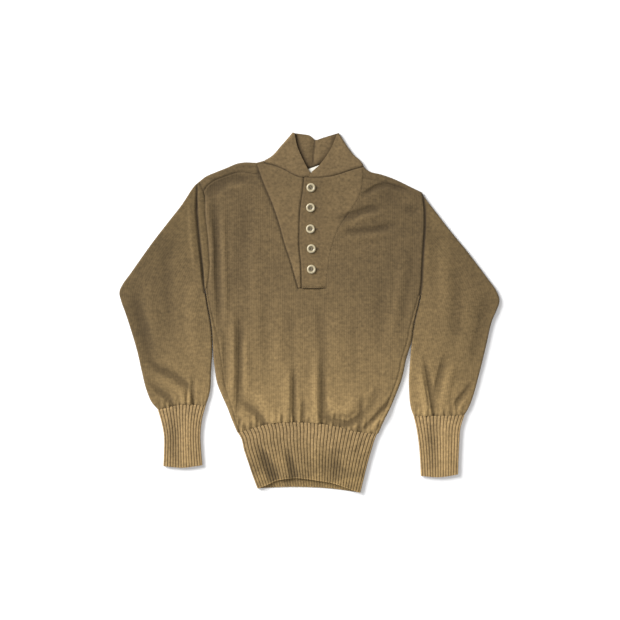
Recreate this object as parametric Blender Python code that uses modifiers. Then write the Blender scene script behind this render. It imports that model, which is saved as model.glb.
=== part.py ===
# A fine-knit pullover, laid flat with its front up: millimetres in the tables, metres in the scene.
# The floor is z = 0, the collar points to +Y, and left and right are as seen from above, so left is -X.

import math

import bmesh
import bpy
import numpy as np

MM = 0.001

# Cloth and air, one above the other
CLOTH = 2.4
HOLLOW = 2.8
SLEEVE_HOLLOW = 3.2
RIB_CLOTH = 2.2
RIB_HOLLOW = 2.6
RIB_HEIGHT = 1.3
INSET_CLOTH = 2.6
COLLAR_CLOTH = 3.0
COLLAR_HOLLOW = 3.0
LEAST_HOLLOW = 0.8
MOST_HOLLOW = 3.7
SEAM_GAP = 0.3
HALF_GAP = SEAM_GAP / 2
BODY_HEIGHT = 2 * CLOTH + HOLLOW
BODY_ROLL = BODY_HEIGHT / 2
SLEEVE_HEIGHT = 2 * CLOTH + SLEEVE_HOLLOW
RIB_BASE = 2 * RIB_CLOTH + RIB_HOLLOW
COLLAR_HEIGHT = 2 * COLLAR_CLOTH + COLLAR_HOLLOW

# How finely each piece is divided
LOWER_ROWS = 15
UPPER_ROWS = 12
LEFT_COLUMNS = 16
MIDDLE_COLUMNS = 8
RIGHT_COLUMNS = 14
NECK_SIDE_COLUMNS = 2
NECK_COLUMNS = 11
ROLL_STEPS = 4
COLLAR_ROWS = 7
FLAP_COLUMNS = 7
SLEEVE_TOP_COLUMNS = 12
SLEEVE_BOTTOM_COLUMNS = 14
CUFF_BOTTOM_COLUMNS = 3
BAND_BOTTOM_COLUMNS = 8
BAND_FINE_ROWS = 16
FRONT_RIBS = 38
CUFF_RIBS = 12
RIB_POINTS = (0.0, 0.3, 0.7)
RIB_SHAPE = (0.0, 1.0, 1.0)
NECK_LIP = 0.7
# Angles round the fold of a tube from below to its top, plain and with the ribs' height at each
PLAIN_TURN = ((-90, 0), (-50, 0), (0, 0), (50, 0))
RIB_TURN = ((-90, 0), (-45, 0), (-20, 1), (12, 1), (35, 0), (55, 1), (75, 0.6))
CALM_EDGE = 15.0
SHARP_ANGLE = 50
LABEL_CORNER = 1.0

# The sides of the body from the waist to the armpit: height, edge, and how far the back comes
# round to the side seam that shows on the front.
LEFT_SIDE = [
    # y, edge_x, round_to_front
    (-239.0, -147.0, 5.0),
    (-214.0, -157.0, 7.5),
    (-190.0, -165.0, 10.0),
    (-166.0, -175.0, 12.5),
    (-142.0, -184.5, 14.5),
    (-118.0, -189.0, 15.5),
    (-94.0, -191.8, 15.0),
    (-57.0, -194.0, 12.0),
    (-31.0, -195.8, 8.0),
    (-10.0, -199.0, 6.0),
    (17.0, -204.2, 5.0),
    (49.6, -209.2, 4.8),
]
RIGHT_SIDE = [
    # y, edge_x, round_to_front
    (-241.0, 142.0, 5.5),
    (-214.0, 153.0, 8.0),
    (-190.0, 164.0, 9.0),
    (-166.0, 173.5, 9.0),
    (-142.0, 181.5, 9.0),
    (-118.0, 188.5, 9.0),
    (-94.0, 193.3, 9.0),
    (-75.0, 199.0, 9.0),
    (-57.0, 204.6, 9.0),
    (-31.0, 208.0, 7.5),
    (-10.0, 212.0, 6.0),
    (17.0, 218.6, 5.2),
    (35.7, 223.6, 4.8),
]

# The armhole seams, the same on the front and the back, from the armpit to the shoulder fold.
LEFT_ARMHOLE = [
    # y, x
    (50.0, -205.0),
    (68.0, -202.2),
    (92.0, -200.0),
    (125.0, -202.0),
    (160.0, -204.5),
    (190.0, -208.3),
    (243.0, -213.0),
    (262.5, -221.5),
]
RIGHT_ARMHOLE = [
    # y, x
    (36.2, 221.0),
    (60.0, 223.8),
    (95.0, 225.6),
    (133.0, 227.8),
    (184.0, 230.8),
    (215.0, 229.5),
    (238.5, 226.0),
]

# The shoulders: the fold that makes the outline, and the seam where the back ends on the front.
LEFT_FOLD = [
    (-221.5, 262.5), (-187.6, 277.6), (-166.0, 286.0), (-143.0, 297.0), (-133.0, 299.2),
    (-105.9, 299.0),
]
LEFT_SHOULDER = [
    (-212.8, 242.0), (-205.0, 254.0), (-194.0, 263.0), (-168.0, 274.0), (-143.0, 281.5),
    (-105.9, 278.0),
]
LEFT_NECK_SIDE = [(-105.3, 299.0), (-97.0, 301.5), (-89.4, 304.2)]
RIGHT_FOLD = [
    (106.7, 297.2), (109.8, 291.6), (120.2, 283.6), (141.8, 278.0), (159.6, 272.2),
    (177.4, 264.4), (195.2, 254.6), (226.0, 238.5),
]
RIGHT_SHOULDER = [
    (106.6, 270.0), (130.0, 266.0), (150.0, 260.6), (168.0, 256.0), (183.0, 250.4),
    (208.0, 240.0), (227.0, 229.0),
]

# The neck inset: its two long seams from the foot to the shoulder, and the free edge of the
# half that lies on top.
INSET_FOOT = 49.6
LEFT_INSET_SEAM = [
    (-23.0, 49.6), (-29.4, 71.4), (-38.6, 103.6), (-50.2, 138.0), (-61.6, 179.4), (-77.6, 225.2),
    (-91.4, 257.4), (-105.6, 296.0),
]
RIGHT_INSET_SEAM = [
    (32.6, 49.6), (36.0, 86.0), (40.6, 120.0), (46.8, 142.0), (53.6, 162.0), (63.4, 180.0),
    (75.8, 197.6), (88.4, 215.0), (98.6, 234.0), (104.4, 254.0), (106.2, 272.0), (106.4, 288.0),
]
PLACKET_EDGE = [
    (-15.6, 49.6), (-17.0, 99.0), (-20.2, 133.4), (-20.2, 168.0), (-18.0, 211.4), (-13.4, 243.6),
    (-10.6, 270.4),
]
# The hidden edge of the half below, and where the half on top slopes down beside it.
UNDER_EDGE = [(16.0, 49.6), (16.0, 200.0), (12.0, 270.4)]
SLOPE_START = [(17.0, 49.6), (17.0, 270.4)]
PLACKET_SLOPE = 11.0
SLOPE_COLUMNS = (4, 3, 6)

# The seams round the neck, on the front and on the back, and the collar's edges from the seam up.
LEFT_NECK_SEAM = [
    (-88.6, 299.9), (-74.4, 297.2), (-52.0, 288.8), (-29.8, 276.8), (-20.8, 273.2),
    (-3.0, 271.4),
]
RIGHT_NECK_SEAM = [
    (-1.4, 271.2), (19.4, 271.2), (37.2, 273.2), (59.6, 279.0), (81.8, 286.4),
    (106.4, 293.2),
]
BACK_NECK_SEAM = [
    (-88.6, 300.6), (-45.0, 294.0), (-4.0, 290.0), (8.0, 294.0), (22.0, 299.0), (62.0, 299.6),
    (106.0, 292.4),
]
COLLAR_LEFT_FOLD = [(-88.6, 305.2), (-74.4, 311.2), (-54.2, 330.2), (-35.4, 356.6)]
COLLAR_RIGHT_FOLD = [(106.4, 298.2), (103.4, 303.4), (88.2, 317.2), (77.4, 331.6), (59.8, 359.3)]
# The way each fold of the collar faces at its foot, where it goes on from the shoulder's fold, and
# at its top, where the edge runs across it.
COLLAR_FOOT_TURN = {-1: (0.0, 1.0), 1: (0.25, 0.97)}
COLLAR_TOP_TURN = {-1: (-1.0, 0.0), 1: (1.0, 0.0)}
COLLAR_TURN = (90, 50, 15, -20, -55, -90)
COLLAR_LAP = 1.2
COLLAR_LAP_START = 0.55
COLLAR_LEFT_EDGE = [
    (-3.0, 271.4), (0.6, 279.0), (-3.6, 289.0), (-14.0, 309.0), (-25.0, 333.6), (-30.4, 354.4),
]
COLLAR_RIGHT_EDGE = [
    (-1.4, 271.2), (2.8, 279.6), (19.4, 295.6), (35.0, 315.8), (46.2, 335.8), (54.2, 356.0),
]
COLLAR_BACK_TOP = [
    (-31.6, 358.0), (-14.0, 357.0), (2.6, 354.4), (10.4, 347.0), (28.4, 351.4), (55.6, 359.8),
]

# The waistband: its side edges downwards, its seam with the body and its hem, front and back.
BAND_LEFT = [
    (-143.4, -239.3), (-137.0, -250.0), (-131.0, -274.0), (-123.0, -298.0), (-115.0, -322.0),
    (-104.0, -351.4),
]
BAND_RIGHT = [
    (138.6, -241.3), (134.0, -250.0), (125.0, -274.0), (117.0, -298.0), (111.0, -322.0),
    (101.6, -360.0),
]
BAND_FRONT_SEAM = [
    (-143.4, -239.3), (-119.0, -232.0), (-95.0, -225.0), (-65.8, -219.4), (-25.0, -218.8),
    (19.0, -221.2), (55.0, -227.2), (91.0, -236.6), (138.6, -241.3),
]
BAND_BACK_SEAM = [(-143.4, -239.3), (138.6, -241.3)]
BAND_FRONT_HEM = [
    (-104.0, -351.4), (-86.0, -344.4), (-66.0, -335.8), (-34.4, -330.8), (11.0, -334.6),
    (51.0, -342.0), (78.0, -351.6), (101.6, -360.0),
]
BAND_BACK_HEM = [
    (-104.0, -351.4), (-79.0, -350.2), (-19.0, -349.2), (41.0, -352.0), (71.0, -355.4),
    (101.6, -360.0),
]
BAND_ROWS = (0.0, 0.09, 0.5, 0.84, 1.0)

# The sleeves: each row is one flattened ring, from the edge beside the body to the outer edge.
LEFT_SLEEVE = [
    # inner_x, inner_y, outer_x, outer_y
    (-208.6, 23.0, -255.0, 218.0),
    (-205.0, 14.0, -283.0, 182.0),
    (-201.8, 0.0, -311.0, 146.0),
    (-199.2, -14.0, -337.0, 110.0),
    (-197.4, -26.0, -358.0, 80.0),
    (-196.0, -38.0, -374.0, 58.0),
    (-195.1, -52.0, -380.8, 42.0),
    (-194.6, -68.0, -377.0, 23.0),
    (-194.9, -86.0, -368.4, -1.0),
    (-196.2, -104.0, -357.0, -36.0),
    (-197.4, -124.0, -345.0, -77.0),
    (-197.9, -144.0, -336.0, -117.0),
    (-199.9, -160.0, -326.6, -154.0),
    (-203.6, -173.0, -316.0, -179.0),
    (-207.6, -184.6, -303.4, -193.4),
]
RIGHT_SLEEVE = [
    # inner_x, inner_y, outer_x, outer_y
    (219.8, 16.0, 259.0, 194.0),
    (214.4, -3.0, 287.0, 158.0),
    (211.4, -18.0, 312.0, 128.0),
    (209.1, -31.0, 335.0, 98.0),
    (206.9, -45.0, 357.0, 68.5),
    (205.4, -59.0, 373.4, 46.0),
    (203.8, -73.0, 380.8, 25.0),
    (202.4, -87.0, 377.6, 7.0),
    (201.0, -104.0, 368.0, -16.0),
    (199.6, -124.0, 358.4, -54.0),
    (199.0, -144.0, 349.0, -91.0),
    (199.8, -163.0, 338.4, -127.0),
    (201.2, -180.0, 328.6, -163.0),
    (204.4, -195.0, 320.4, -189.0),
    (208.6, -205.7, 312.0, -204.2),
]
# The fold of cloth between the left armhole seam and the sleeve, whose groove shows as a dark line.
LEFT_GROOVE = [
    (-210.0, 50.4), (-212.4, 74.0), (-215.0, 99.4), (-219.0, 135.2), (-222.8, 171.2),
    (-225.4, 204.0), (-224.0, 243.2), (-224.4, 259.0),
]
LEFT_SLEEVE_ROLL = [
    (-210.4, 38.0), (-219.0, 74.0), (-221.8, 99.4), (-225.6, 135.2), (-229.4, 171.2),
    (-232.0, 204.0), (-231.4, 235.0), (-231.0, 253.6),
]
RIGHT_SLEEVE_ROLL = [
    (225.0, 36.8), (230.4, 60.0), (232.4, 95.0), (234.6, 133.0), (237.4, 184.0), (236.0, 215.0),
    (233.4, 230.6),
]
LEFT_CUFF_SEAM_BOW = 6.0
RIGHT_CUFF_SEAM_BOW = -0.5

# The cuffs: edges beside the body and outer edges, downwards, and how far the mouth bows out.
LEFT_CUFF_INNER = [
    (-207.6, -184.9), (-215.0, -212.0), (-218.4, -244.0), (-217.2, -274.0), (-214.6, -304.6),
]
LEFT_CUFF_OUTER = [
    (-303.4, -193.7), (-296.4, -218.0), (-291.4, -244.0), (-291.4, -280.0), (-292.4, -306.4),
]
RIGHT_CUFF_INNER = [
    (208.6, -206.0), (213.4, -226.0), (219.0, -262.0), (221.4, -290.0), (223.2, -326.0),
]
RIGHT_CUFF_OUTER = [
    (312.0, -204.5), (304.0, -226.0), (299.6, -262.0), (298.4, -290.0), (297.2, -323.0),
]
CUFF_ROWS = (0.0, 0.1, 0.55, 1.0)
CUFF_MOUTH_BOW = -4.0

# The largest folds of the front, where cloth sinks (negative) or stands up, along a line.
FOLDS = [
    # half_width, height, line
    (9.0, -1.6, [(-204.0, 56.0), (-200.0, 92.0), (-204.5, 160.0), (-213.0, 243.0), (-221.5, 262.0)]),
    (9.0, -1.9, [(221.0, 40.0), (225.6, 95.0), (230.8, 184.0), (226.0, 238.0)]),
    (7.0, -2.0, LEFT_GROOVE),
    (13.0, -1.5, [(-196.0, 232.0), (-184.0, 180.0), (-180.0, 105.0), (-175.0, 44.0), (-174.0, -38.0)]),
    (12.0, -1.2, [(-146.0, -32.0), (-145.0, -136.0), (-147.0, -194.0)]),
    (15.0, 0.9, [(-158.0, 150.0), (-152.0, 20.0), (-158.0, -100.0)]),
    (13.0, -1.5, [(74.0, 198.0), (127.0, 212.0)]),
    (12.0, -1.3, [(76.0, 167.0), (155.0, 173.0)]),
    (12.0, 1.0, [(80.0, 182.0), (140.0, 192.0)]),
    (12.0, -1.2, [(106.0, 237.0), (134.0, 253.0)]),
    (12.0, -1.4, [(159.0, -187.0), (118.0, -239.0)]),
    (10.0, -1.3, [(-119.0, -197.0), (-95.0, -219.0)]),
    (20.0, 0.8, [(190.0, 120.0), (170.0, 0.0), (150.0, -110.0)]),
    (12.0, -1.2, [(-298.0, -111.0), (-252.0, -150.0)]),
    (12.0, -1.2, [(-300.0, -152.0), (-271.0, -184.0)]),
    (10.0, -1.0, [(-238.0, -139.0), (-237.0, -180.0)]),
    (11.0, -1.4, [(230.0, -131.0), (244.0, -200.0)]),
    (12.0, -1.1, [(267.0, -108.0), (252.0, -160.0)]),
    (12.0, -1.1, [(313.0, -159.0), (283.0, -190.0)]),
    (14.0, -1.1, [(246.0, 166.0), (247.0, 46.0)]),
    (22.0, 0.5, [(-330.0, 60.0), (-300.0, -30.0), (-270.0, -100.0)]),
    (22.0, 0.5, [(330.0, 50.0), (300.0, -30.0), (280.0, -100.0)]),
]
GATHER_HEIGHT = 0.9
GATHER_REACH = 42.0

# Small hard pieces and the label
BUTTON_PLACES = [(2.6, 252.0), (2.0, 211.4), (1.8, 169.0), (3.6, 129.6), (3.6, 88.6)]
BUTTON_PROFILE = [
    # radius, height
    (0.0, 2.1),
    (4.0, 2.1),
    (5.2, 3.3),
    (7.3, 3.3),
    (8.6, 2.4),
    (9.0, 1.3),
    (8.4, 0.3),
    (7.4, 0.0),
    (0.0, 0.0),
]
BUTTON_STEPS = 16
BUTTON_HOLE_RADIUS = 0.95
BUTTON_HOLE_PLACE = 1.75
BUTTON_HOLE_SIDES = 6
LABEL_SIZE = (52.0, 30.0, 0.8)
LABEL_PLACE = (3.2, 274.2)
LABEL_TURN = 20.0

# Colours as linear red, green and blue
KNIT_BROWN = (0.190, 0.141, 0.079)
SLEEVE_BROWN = (0.215, 0.159, 0.086)
INSET_BROWN = (0.204, 0.148, 0.078)
COLLAR_BROWN = (0.228, 0.161, 0.086)
BAND_BROWN = (0.268, 0.184, 0.095)
CUFF_BROWN = (0.335, 0.235, 0.120)
BUTTON_HORN = (0.520, 0.440, 0.300)
LABEL_WHITE = (0.800, 0.790, 0.760)
CLOTH_ROUGHNESS = 0.92
BUTTON_ROUGHNESS = 0.42


def clear_scene():
    for thing in list(bpy.data.objects):
        bpy.data.objects.remove(thing, do_unlink=True)


def read(table, at):
    """The other columns of a table at places in its first column, which rises, by a smooth curve."""
    rows = np.array(table, float)
    places, values = rows[:, 0], rows[:, 1:]
    slopes = np.gradient(values, places, axis=0)
    at = np.clip(np.asarray(at, float), places[0], places[-1])
    first = np.clip(np.searchsorted(places, at, side="right") - 1, 0, len(places) - 2)
    span = (places[first + 1] - places[first])[..., None]
    t = (at - places[first])[..., None] / span
    start = (1 + 2 * t) * (1 - t) ** 2 * values[first] + t * (1 - t) ** 2 * span * slopes[first]
    end = t**2 * (3 - 2 * t) * values[first + 1] - t**2 * (1 - t) * span * slopes[first + 1]
    return start + end


def along(line, at):
    """Points at fractions of the length of a smooth line through the given points."""
    points = np.array(line, float)
    lengths = np.linalg.norm(np.diff(points, axis=0), axis=1)
    places = np.concatenate([[0.0], np.cumsum(lengths)]) / lengths.sum()
    return read(np.column_stack([places, points]), at)


def steps(count, start=0.0, end=1.0):
    return np.linspace(start, end, count + 1)


def joined(*parts):
    """Point rows one after another, where each starts at the last point of the one before it."""
    return np.concatenate([parts[0]] + [part[1:] for part in parts[1:]])


def patch(left, right, low, high):
    """The points between four edges: rows run from low to high, columns from left to right."""
    rise = steps(len(left) - 1)[:, None, None]
    across = steps(len(low) - 1)[None, :, None]
    ruled = (1 - across) * left[:, None] + across * right[:, None]
    ruled = ruled + (1 - rise) * low[None] + rise * high[None]
    corners = (1 - rise) * ((1 - across) * low[0] + across * low[-1])
    corners = corners + rise * ((1 - across) * high[0] + across * high[-1])
    return ruled - corners


def relief(points):
    """How far the folds lift or sink the upper layer at each (x, y) point."""
    total = np.zeros(points.shape[:-1])
    for half_width, height, line in FOLDS:
        nearest = np.full(points.shape[:-1], np.inf)
        for start, end in zip(np.array(line[:-1], float), np.array(line[1:], float)):
            run = end - start
            t = np.clip(((points - start) @ run) / (run @ run), 0.0, 1.0)
            nearest = np.minimum(nearest, np.linalg.norm(points - start - t[..., None] * run, axis=-1))
        total += height * np.clip(1 - (nearest / half_width) ** 2, 0.0, 1.0) ** 2
    return total


def fitted(lift, hollow):
    """Keeps the air between the layers within its least and most."""
    return np.clip(lift, LEAST_HOLLOW - hollow, MOST_HOLLOW - hollow)


def material(name, colour, roughness):
    made = bpy.data.materials.new(name)
    made.use_nodes = True
    shader = made.node_tree.nodes["Principled BSDF"]
    shader.inputs["Base Color"].default_value = (*colour, 1.0)
    shader.inputs["Roughness"].default_value = roughness
    shader.inputs["Metallic"].default_value = 0.0
    return made


def new_object(name, mesh, collection, colour, roughness=CLOTH_ROUGHNESS):
    mesh.materials.clear()
    mesh.materials.append(material(name + "_finish", colour, roughness))
    mesh.shade_smooth()
    mesh.set_sharp_from_angle(angle=math.radians(SHARP_ANGLE))
    thing = bpy.data.objects.new(name, mesh)
    collection.objects.link(thing)
    return thing


def cloth_wall(name, outer, inner, collection, colour, closed=False, kept=None):
    """One closed mesh from the points of a cloth's outer and inner face, with cut edges between them."""
    rows, columns = outer.shape[:2]
    spans = columns if closed else columns - 1
    if kept is None:
        kept = np.ones((rows - 1, spans), bool)
    shape = bmesh.new()
    faces = [[[shape.verts.new(point * MM) for point in row] for row in side] for side in (outer, inner)]
    edges = set()
    for row, column in np.argwhere(kept):
        beside = (column + 1) % columns
        corners = [(row, column), (row, beside), (row + 1, beside), (row + 1, column)]
        shape.faces.new([faces[0][r][c] for r, c in corners])
        shape.faces.new([faces[1][r][c] for r, c in reversed(corners)])
        edges.update(zip(corners, corners[1:] + corners[:1]))
    for start, end in sorted(edges):
        if (end, start) not in edges:
            rim = [faces[0][end[0]][end[1]], faces[0][start[0]][start[1]]]
            rim += [faces[1][start[0]][start[1]], faces[1][end[0]][end[1]]]
            shape.faces.new(rim)
    spare = [vert for vert in shape.verts if not vert.link_faces]
    bmesh.ops.delete(shape, geom=spare, context="VERTS")
    bmesh.ops.recalc_face_normals(shape, faces=shape.faces)
    mesh = bpy.data.meshes.new(name)
    shape.to_mesh(mesh)
    shape.free()
    return new_object(name, mesh, collection, colour)


def raised(points, height):
    """(x, y) points given a height, one for all or one for each."""
    return np.concatenate([points, np.broadcast_to(height, points.shape[:-1])[..., None]], axis=-1)


def shifted(points, x=0.0, y=0.0):
    return points + np.array([x, y])


def side_line(table, side, inset, count):
    """Points up one side of the body, the inset in from its edge: 0 is the edge, 1 the side seam."""
    heights = steps(count, table[0][0], table[-1][0])
    edge, reach = read(table, heights).T
    return np.column_stack([edge + side * reach * inset, heights])


def armhole_line(table, side, low, high, count, gap=HALF_GAP):
    heights = steps(count, low, high)
    return np.column_stack([read(table, heights)[:, 0] + side * gap, heights])


def shoulder_seams():
    """The two shoulder seams on the front, each from the armhole or the inset seam to the other."""
    left = along(LEFT_SHOULDER, steps(LEFT_COLUMNS))
    right = along(RIGHT_SHOULDER, steps(RIGHT_COLUMNS))
    left[-1, 0] = read([(y, x) for x, y in LEFT_INSET_SEAM], left[-1, 1])[0] - HALF_GAP
    right[0, 0] = read([(y, x) for x, y in RIGHT_INSET_SEAM], right[0, 1])[0] + HALF_GAP
    return left, right


def neck_side_seam():
    """Where the back ends on the front beside the neck, on top of its fold."""
    return shifted(along(LEFT_NECK_SIDE, steps(NECK_SIDE_COLUMNS - 1)), y=-BODY_ROLL - NECK_LIP)


def band_seam(points):
    """The waist seam's height on the front at each x."""
    return read(BAND_FRONT_SEAM, points)[..., 0]


def make_front(collection):
    """The front: one wall with a deep notch for the inset, gathered at its lower edge."""
    left_side = shifted(side_line(LEFT_SIDE, 1, 1.0, LOWER_ROWS), x=HALF_GAP)
    right_side = shifted(side_line(RIGHT_SIDE, -1, 1.0, LOWER_ROWS), x=-HALF_GAP)
    left_shoulder, right_shoulder = shoulder_seams()
    foot_left = np.array(LEFT_INSET_SEAM[0]) + (-HALF_GAP, 0)
    foot_right = np.array(RIGHT_INSET_SEAM[0]) + (HALF_GAP, 0)
    across = joined(
        steps(LEFT_COLUMNS, left_side[0, 0], foot_left[0]),
        steps(MIDDLE_COLUMNS, foot_left[0], foot_right[0]),
        steps(RIGHT_COLUMNS, foot_right[0], right_side[0, 0]),
    )
    waist = np.column_stack([across, band_seam(across) + SEAM_GAP])
    armpits = joined(
        along([left_side[-1], foot_left], steps(LEFT_COLUMNS)),
        along([foot_left, foot_right], steps(MIDDLE_COLUMNS)),
        along([foot_right, right_side[-1]], steps(RIGHT_COLUMNS)),
    )
    left_side[0, 1] = waist[0, 1]
    right_side[0, 1] = waist[-1, 1]
    lower = patch(left_side, right_side, waist, armpits)
    left_top = shifted(left_shoulder, y=-HALF_GAP)
    right_top = shifted(right_shoulder, y=-HALF_GAP)
    left_armhole = armhole_line(LEFT_ARMHOLE, 1, left_side[-1, 1], left_top[0, 1], UPPER_ROWS)
    right_armhole = armhole_line(RIGHT_ARMHOLE, -1, right_side[-1, 1], right_top[-1, 1], UPPER_ROWS)
    left_armhole[0], left_top[0] = left_side[-1], left_armhole[-1]
    right_armhole[0], right_top[-1] = right_side[-1], right_armhole[-1]
    left_inset = shifted(inset_seam(LEFT_INSET_SEAM, left_top[-1, 1]), x=-HALF_GAP)
    right_inset = shifted(inset_seam(RIGHT_INSET_SEAM, right_top[0, 1]), x=HALF_GAP)
    left_top[-1], right_top[0] = left_inset[-1], right_inset[-1]
    middle = LEFT_COLUMNS + MIDDLE_COLUMNS
    left_upper = patch(left_armhole, left_inset, armpits[: LEFT_COLUMNS + 1], left_top)
    right_upper = patch(right_inset, right_armhole, armpits[middle:], right_top)
    points = np.zeros((LOWER_ROWS + UPPER_ROWS + 1, len(across), 2))
    points[: LOWER_ROWS + 1] = lower
    points[LOWER_ROWS:, : LEFT_COLUMNS + 1] = left_upper
    points[LOWER_ROWS:, middle:] = right_upper
    points[LOWER_ROWS, :] = armpits
    kept = np.ones((LOWER_ROWS + UPPER_ROWS, len(across) - 1), bool)
    kept[LOWER_ROWS:, LEFT_COLUMNS:middle] = False
    above_waist = points[..., 1] - (band_seam(points[..., 0]) + SEAM_GAP)
    gathers = np.where(np.arange(len(across)) % 2 == 1, 1.0, -0.6)
    gathers = gathers * (0.7 + 0.3 * np.cos(2.3 * np.arange(len(across))))
    gathers = gathers * np.clip(1 - above_waist / GATHER_REACH, 0.0, 1.0) ** 2
    lift = fitted(relief(points) + GATHER_HEIGHT * gathers, HOLLOW)
    outer = raised(points, BODY_HEIGHT + lift)
    inner = raised(points, BODY_HEIGHT - CLOTH + lift)
    cloth_wall("body_front", outer, inner, collection, KNIT_BROWN, kept=kept)


def inset_seam(line, shoulder, *above):
    """Points up an inset seam from its foot to the shoulder seam, and at each height above that."""
    table = [(y, x) for x, y in line]
    heights = np.append(steps(UPPER_ROWS, INSET_FOOT, shoulder), above)
    return np.column_stack([read(table, heights)[:, 0], heights])


def rolled(edge, direction, radius, cloth, angles):
    """Outer and inner points round a fold whose outermost line is the edge: -90 is below, 90 above."""
    outer = []
    inner = []
    for angle in angles:
        for side, size in ((outer, radius), (inner, radius - cloth)):
            place = edge - direction * (radius - size * math.cos(angle))
            side.append(raised(place, radius + size * math.sin(angle)))
    return outer, inner


def make_back(collection):
    """The back: flat on the floor, rolled up at its sides and shoulders to the seams on the front."""
    turn = np.radians(np.linspace(90, -90, ROLL_STEPS + 1))
    columns = []
    for table, side in ((LEFT_SIDE, 1), (RIGHT_SIDE, -1)):
        seam = shifted(side_line(table, side, 1.0, LOWER_ROWS), x=-side * HALF_GAP)
        seam[0, 1] = band_seam(seam[0, 0]) + SEAM_GAP
        edge = side_line(table, side, 0.0, LOWER_ROWS)
        outer, inner = rolled(edge, np.array([-side, 0.0]), BODY_ROLL, CLOTH, turn)
        lip = [(raised(seam, BODY_HEIGHT), raised(seam, BODY_HEIGHT - CLOTH))]
        columns.append(lip + list(zip(outer, inner)))
    left, right = columns
    right = right[::-1]
    flat_columns = LEFT_COLUMNS + NECK_SIDE_COLUMNS + NECK_COLUMNS + RIGHT_COLUMNS
    waist = along([left[-1][0][0, :2], right[0][0][0, :2]], steps(flat_columns))
    armpits = along([left[-1][0][-1, :2], right[0][0][-1, :2]], steps(flat_columns))
    lower = patch(left[-1][0][:, :2], right[0][0][:, :2], waist, armpits)

    left_fold = along(LEFT_FOLD, steps(LEFT_COLUMNS))
    neck_side = along(LEFT_NECK_SIDE, steps(NECK_SIDE_COLUMNS - 1))
    right_fold = along(RIGHT_FOLD, steps(RIGHT_COLUMNS))
    neck = shifted(along(BACK_NECK_SEAM, steps(NECK_COLUMNS - 1)), y=-HALF_GAP)
    folds = np.concatenate([left_fold, neck_side, neck[1:], right_fold])
    top = shifted(folds, y=-BODY_ROLL)
    neck_start = LEFT_COLUMNS + NECK_SIDE_COLUMNS
    neck_end = len(folds) - RIGHT_COLUMNS - 1
    top[neck_start + 1 : neck_end] = neck[1:]
    left_armhole = armhole_line(LEFT_ARMHOLE, 1, armpits[0, 1], top[0, 1], UPPER_ROWS)
    right_armhole = armhole_line(RIGHT_ARMHOLE, -1, armpits[-1, 1], top[-1, 1], UPPER_ROWS)
    left_armhole[0], right_armhole[0] = armpits[0], armpits[-1]
    top[0], top[-1] = left_armhole[-1], right_armhole[-1]
    upper = patch(left_armhole, right_armhole, armpits, top)

    rows = LOWER_ROWS + UPPER_ROWS + ROLL_STEPS + 2
    sides = len(left) - 1
    width = flat_columns + 2 * sides + 1
    outer = np.zeros((rows, width, 3))
    inner = np.zeros((rows, width, 3))
    kept = np.zeros((rows - 1, width - 1), bool)
    for place, (outside, inside) in enumerate(left):
        outer[: LOWER_ROWS + 1, place] = outside
        inner[: LOWER_ROWS + 1, place] = inside
    for place, (outside, inside) in enumerate(right):
        outer[: LOWER_ROWS + 1, sides + flat_columns + place] = outside
        inner[: LOWER_ROWS + 1, sides + flat_columns + place] = inside
    flat = slice(sides, sides + flat_columns + 1)
    outer[: LOWER_ROWS + 1, flat, :2] = lower
    outer[LOWER_ROWS : LOWER_ROWS + UPPER_ROWS + 1, flat, :2] = upper
    inner[: LOWER_ROWS + UPPER_ROWS + 1, flat, :2] = outer[: LOWER_ROWS + UPPER_ROWS + 1, flat, :2]
    inner[: LOWER_ROWS + UPPER_ROWS + 1, flat, 2] = CLOTH
    kept[:LOWER_ROWS] = True
    kept[LOWER_ROWS : LOWER_ROWS + UPPER_ROWS, flat][:, :-1] = True

    over = np.radians(np.linspace(-90, 90, ROLL_STEPS + 1))
    outside, inside = rolled(folds, np.array([0.0, 1.0]), BODY_ROLL, CLOTH, over)
    left_shoulder, right_shoulder = shoulder_seams()
    seam = np.concatenate([left_shoulder, neck_side_seam(), neck[1:], right_shoulder])
    seam = shifted(seam, y=HALF_GAP)
    outside.append(raised(seam, BODY_HEIGHT))
    inside.append(raised(seam, BODY_HEIGHT - CLOTH))
    for step in range(1, len(outside)):
        row = LOWER_ROWS + UPPER_ROWS + step
        outer[row, flat] = outside[step]
        inner[row, flat] = inside[step]
        for side in (outer, inner):
            last = sides + flat_columns
            side[row, sides, 0] = read(LEFT_ARMHOLE, side[row, sides, 1])[0] + HALF_GAP
            side[row, last, 0] = read(RIGHT_ARMHOLE, side[row, last, 1])[0] - HALF_GAP
        kept[row - 1, sides : sides + LEFT_COLUMNS + NECK_SIDE_COLUMNS] = True
        kept[row - 1, sides + neck_end : sides + flat_columns] = True
    cloth_wall("body_back", outer, inner, collection, KNIT_BROWN, kept=kept)


def ring_plan(bottom, top=0, ribs=0):
    """Where a flattened ring's points lie: (zone, place, rib), round from the left fold over the top."""
    roll = RIB_TURN if ribs else PLAIN_TURN
    spots = [(place, 0.0) for place in steps(top)[:-1]] if top else []
    for rib in range(ribs):
        spots += [((rib + place) / ribs, height) for place, height in zip(RIB_POINTS, RIB_SHAPE)]
    plan = [("left", math.radians(angle), rib) for angle, rib in roll]
    plan += [("top", place, rib) for place, rib in spots]
    plan += [("top", 1.0, 0.0)]
    plan += [("right", math.radians(angle), rib) for angle, rib in roll[::-1]]
    plan += [("bottom", place, 0.0) for place in steps(bottom)[1:-1][::-1]]
    return plan


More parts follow.
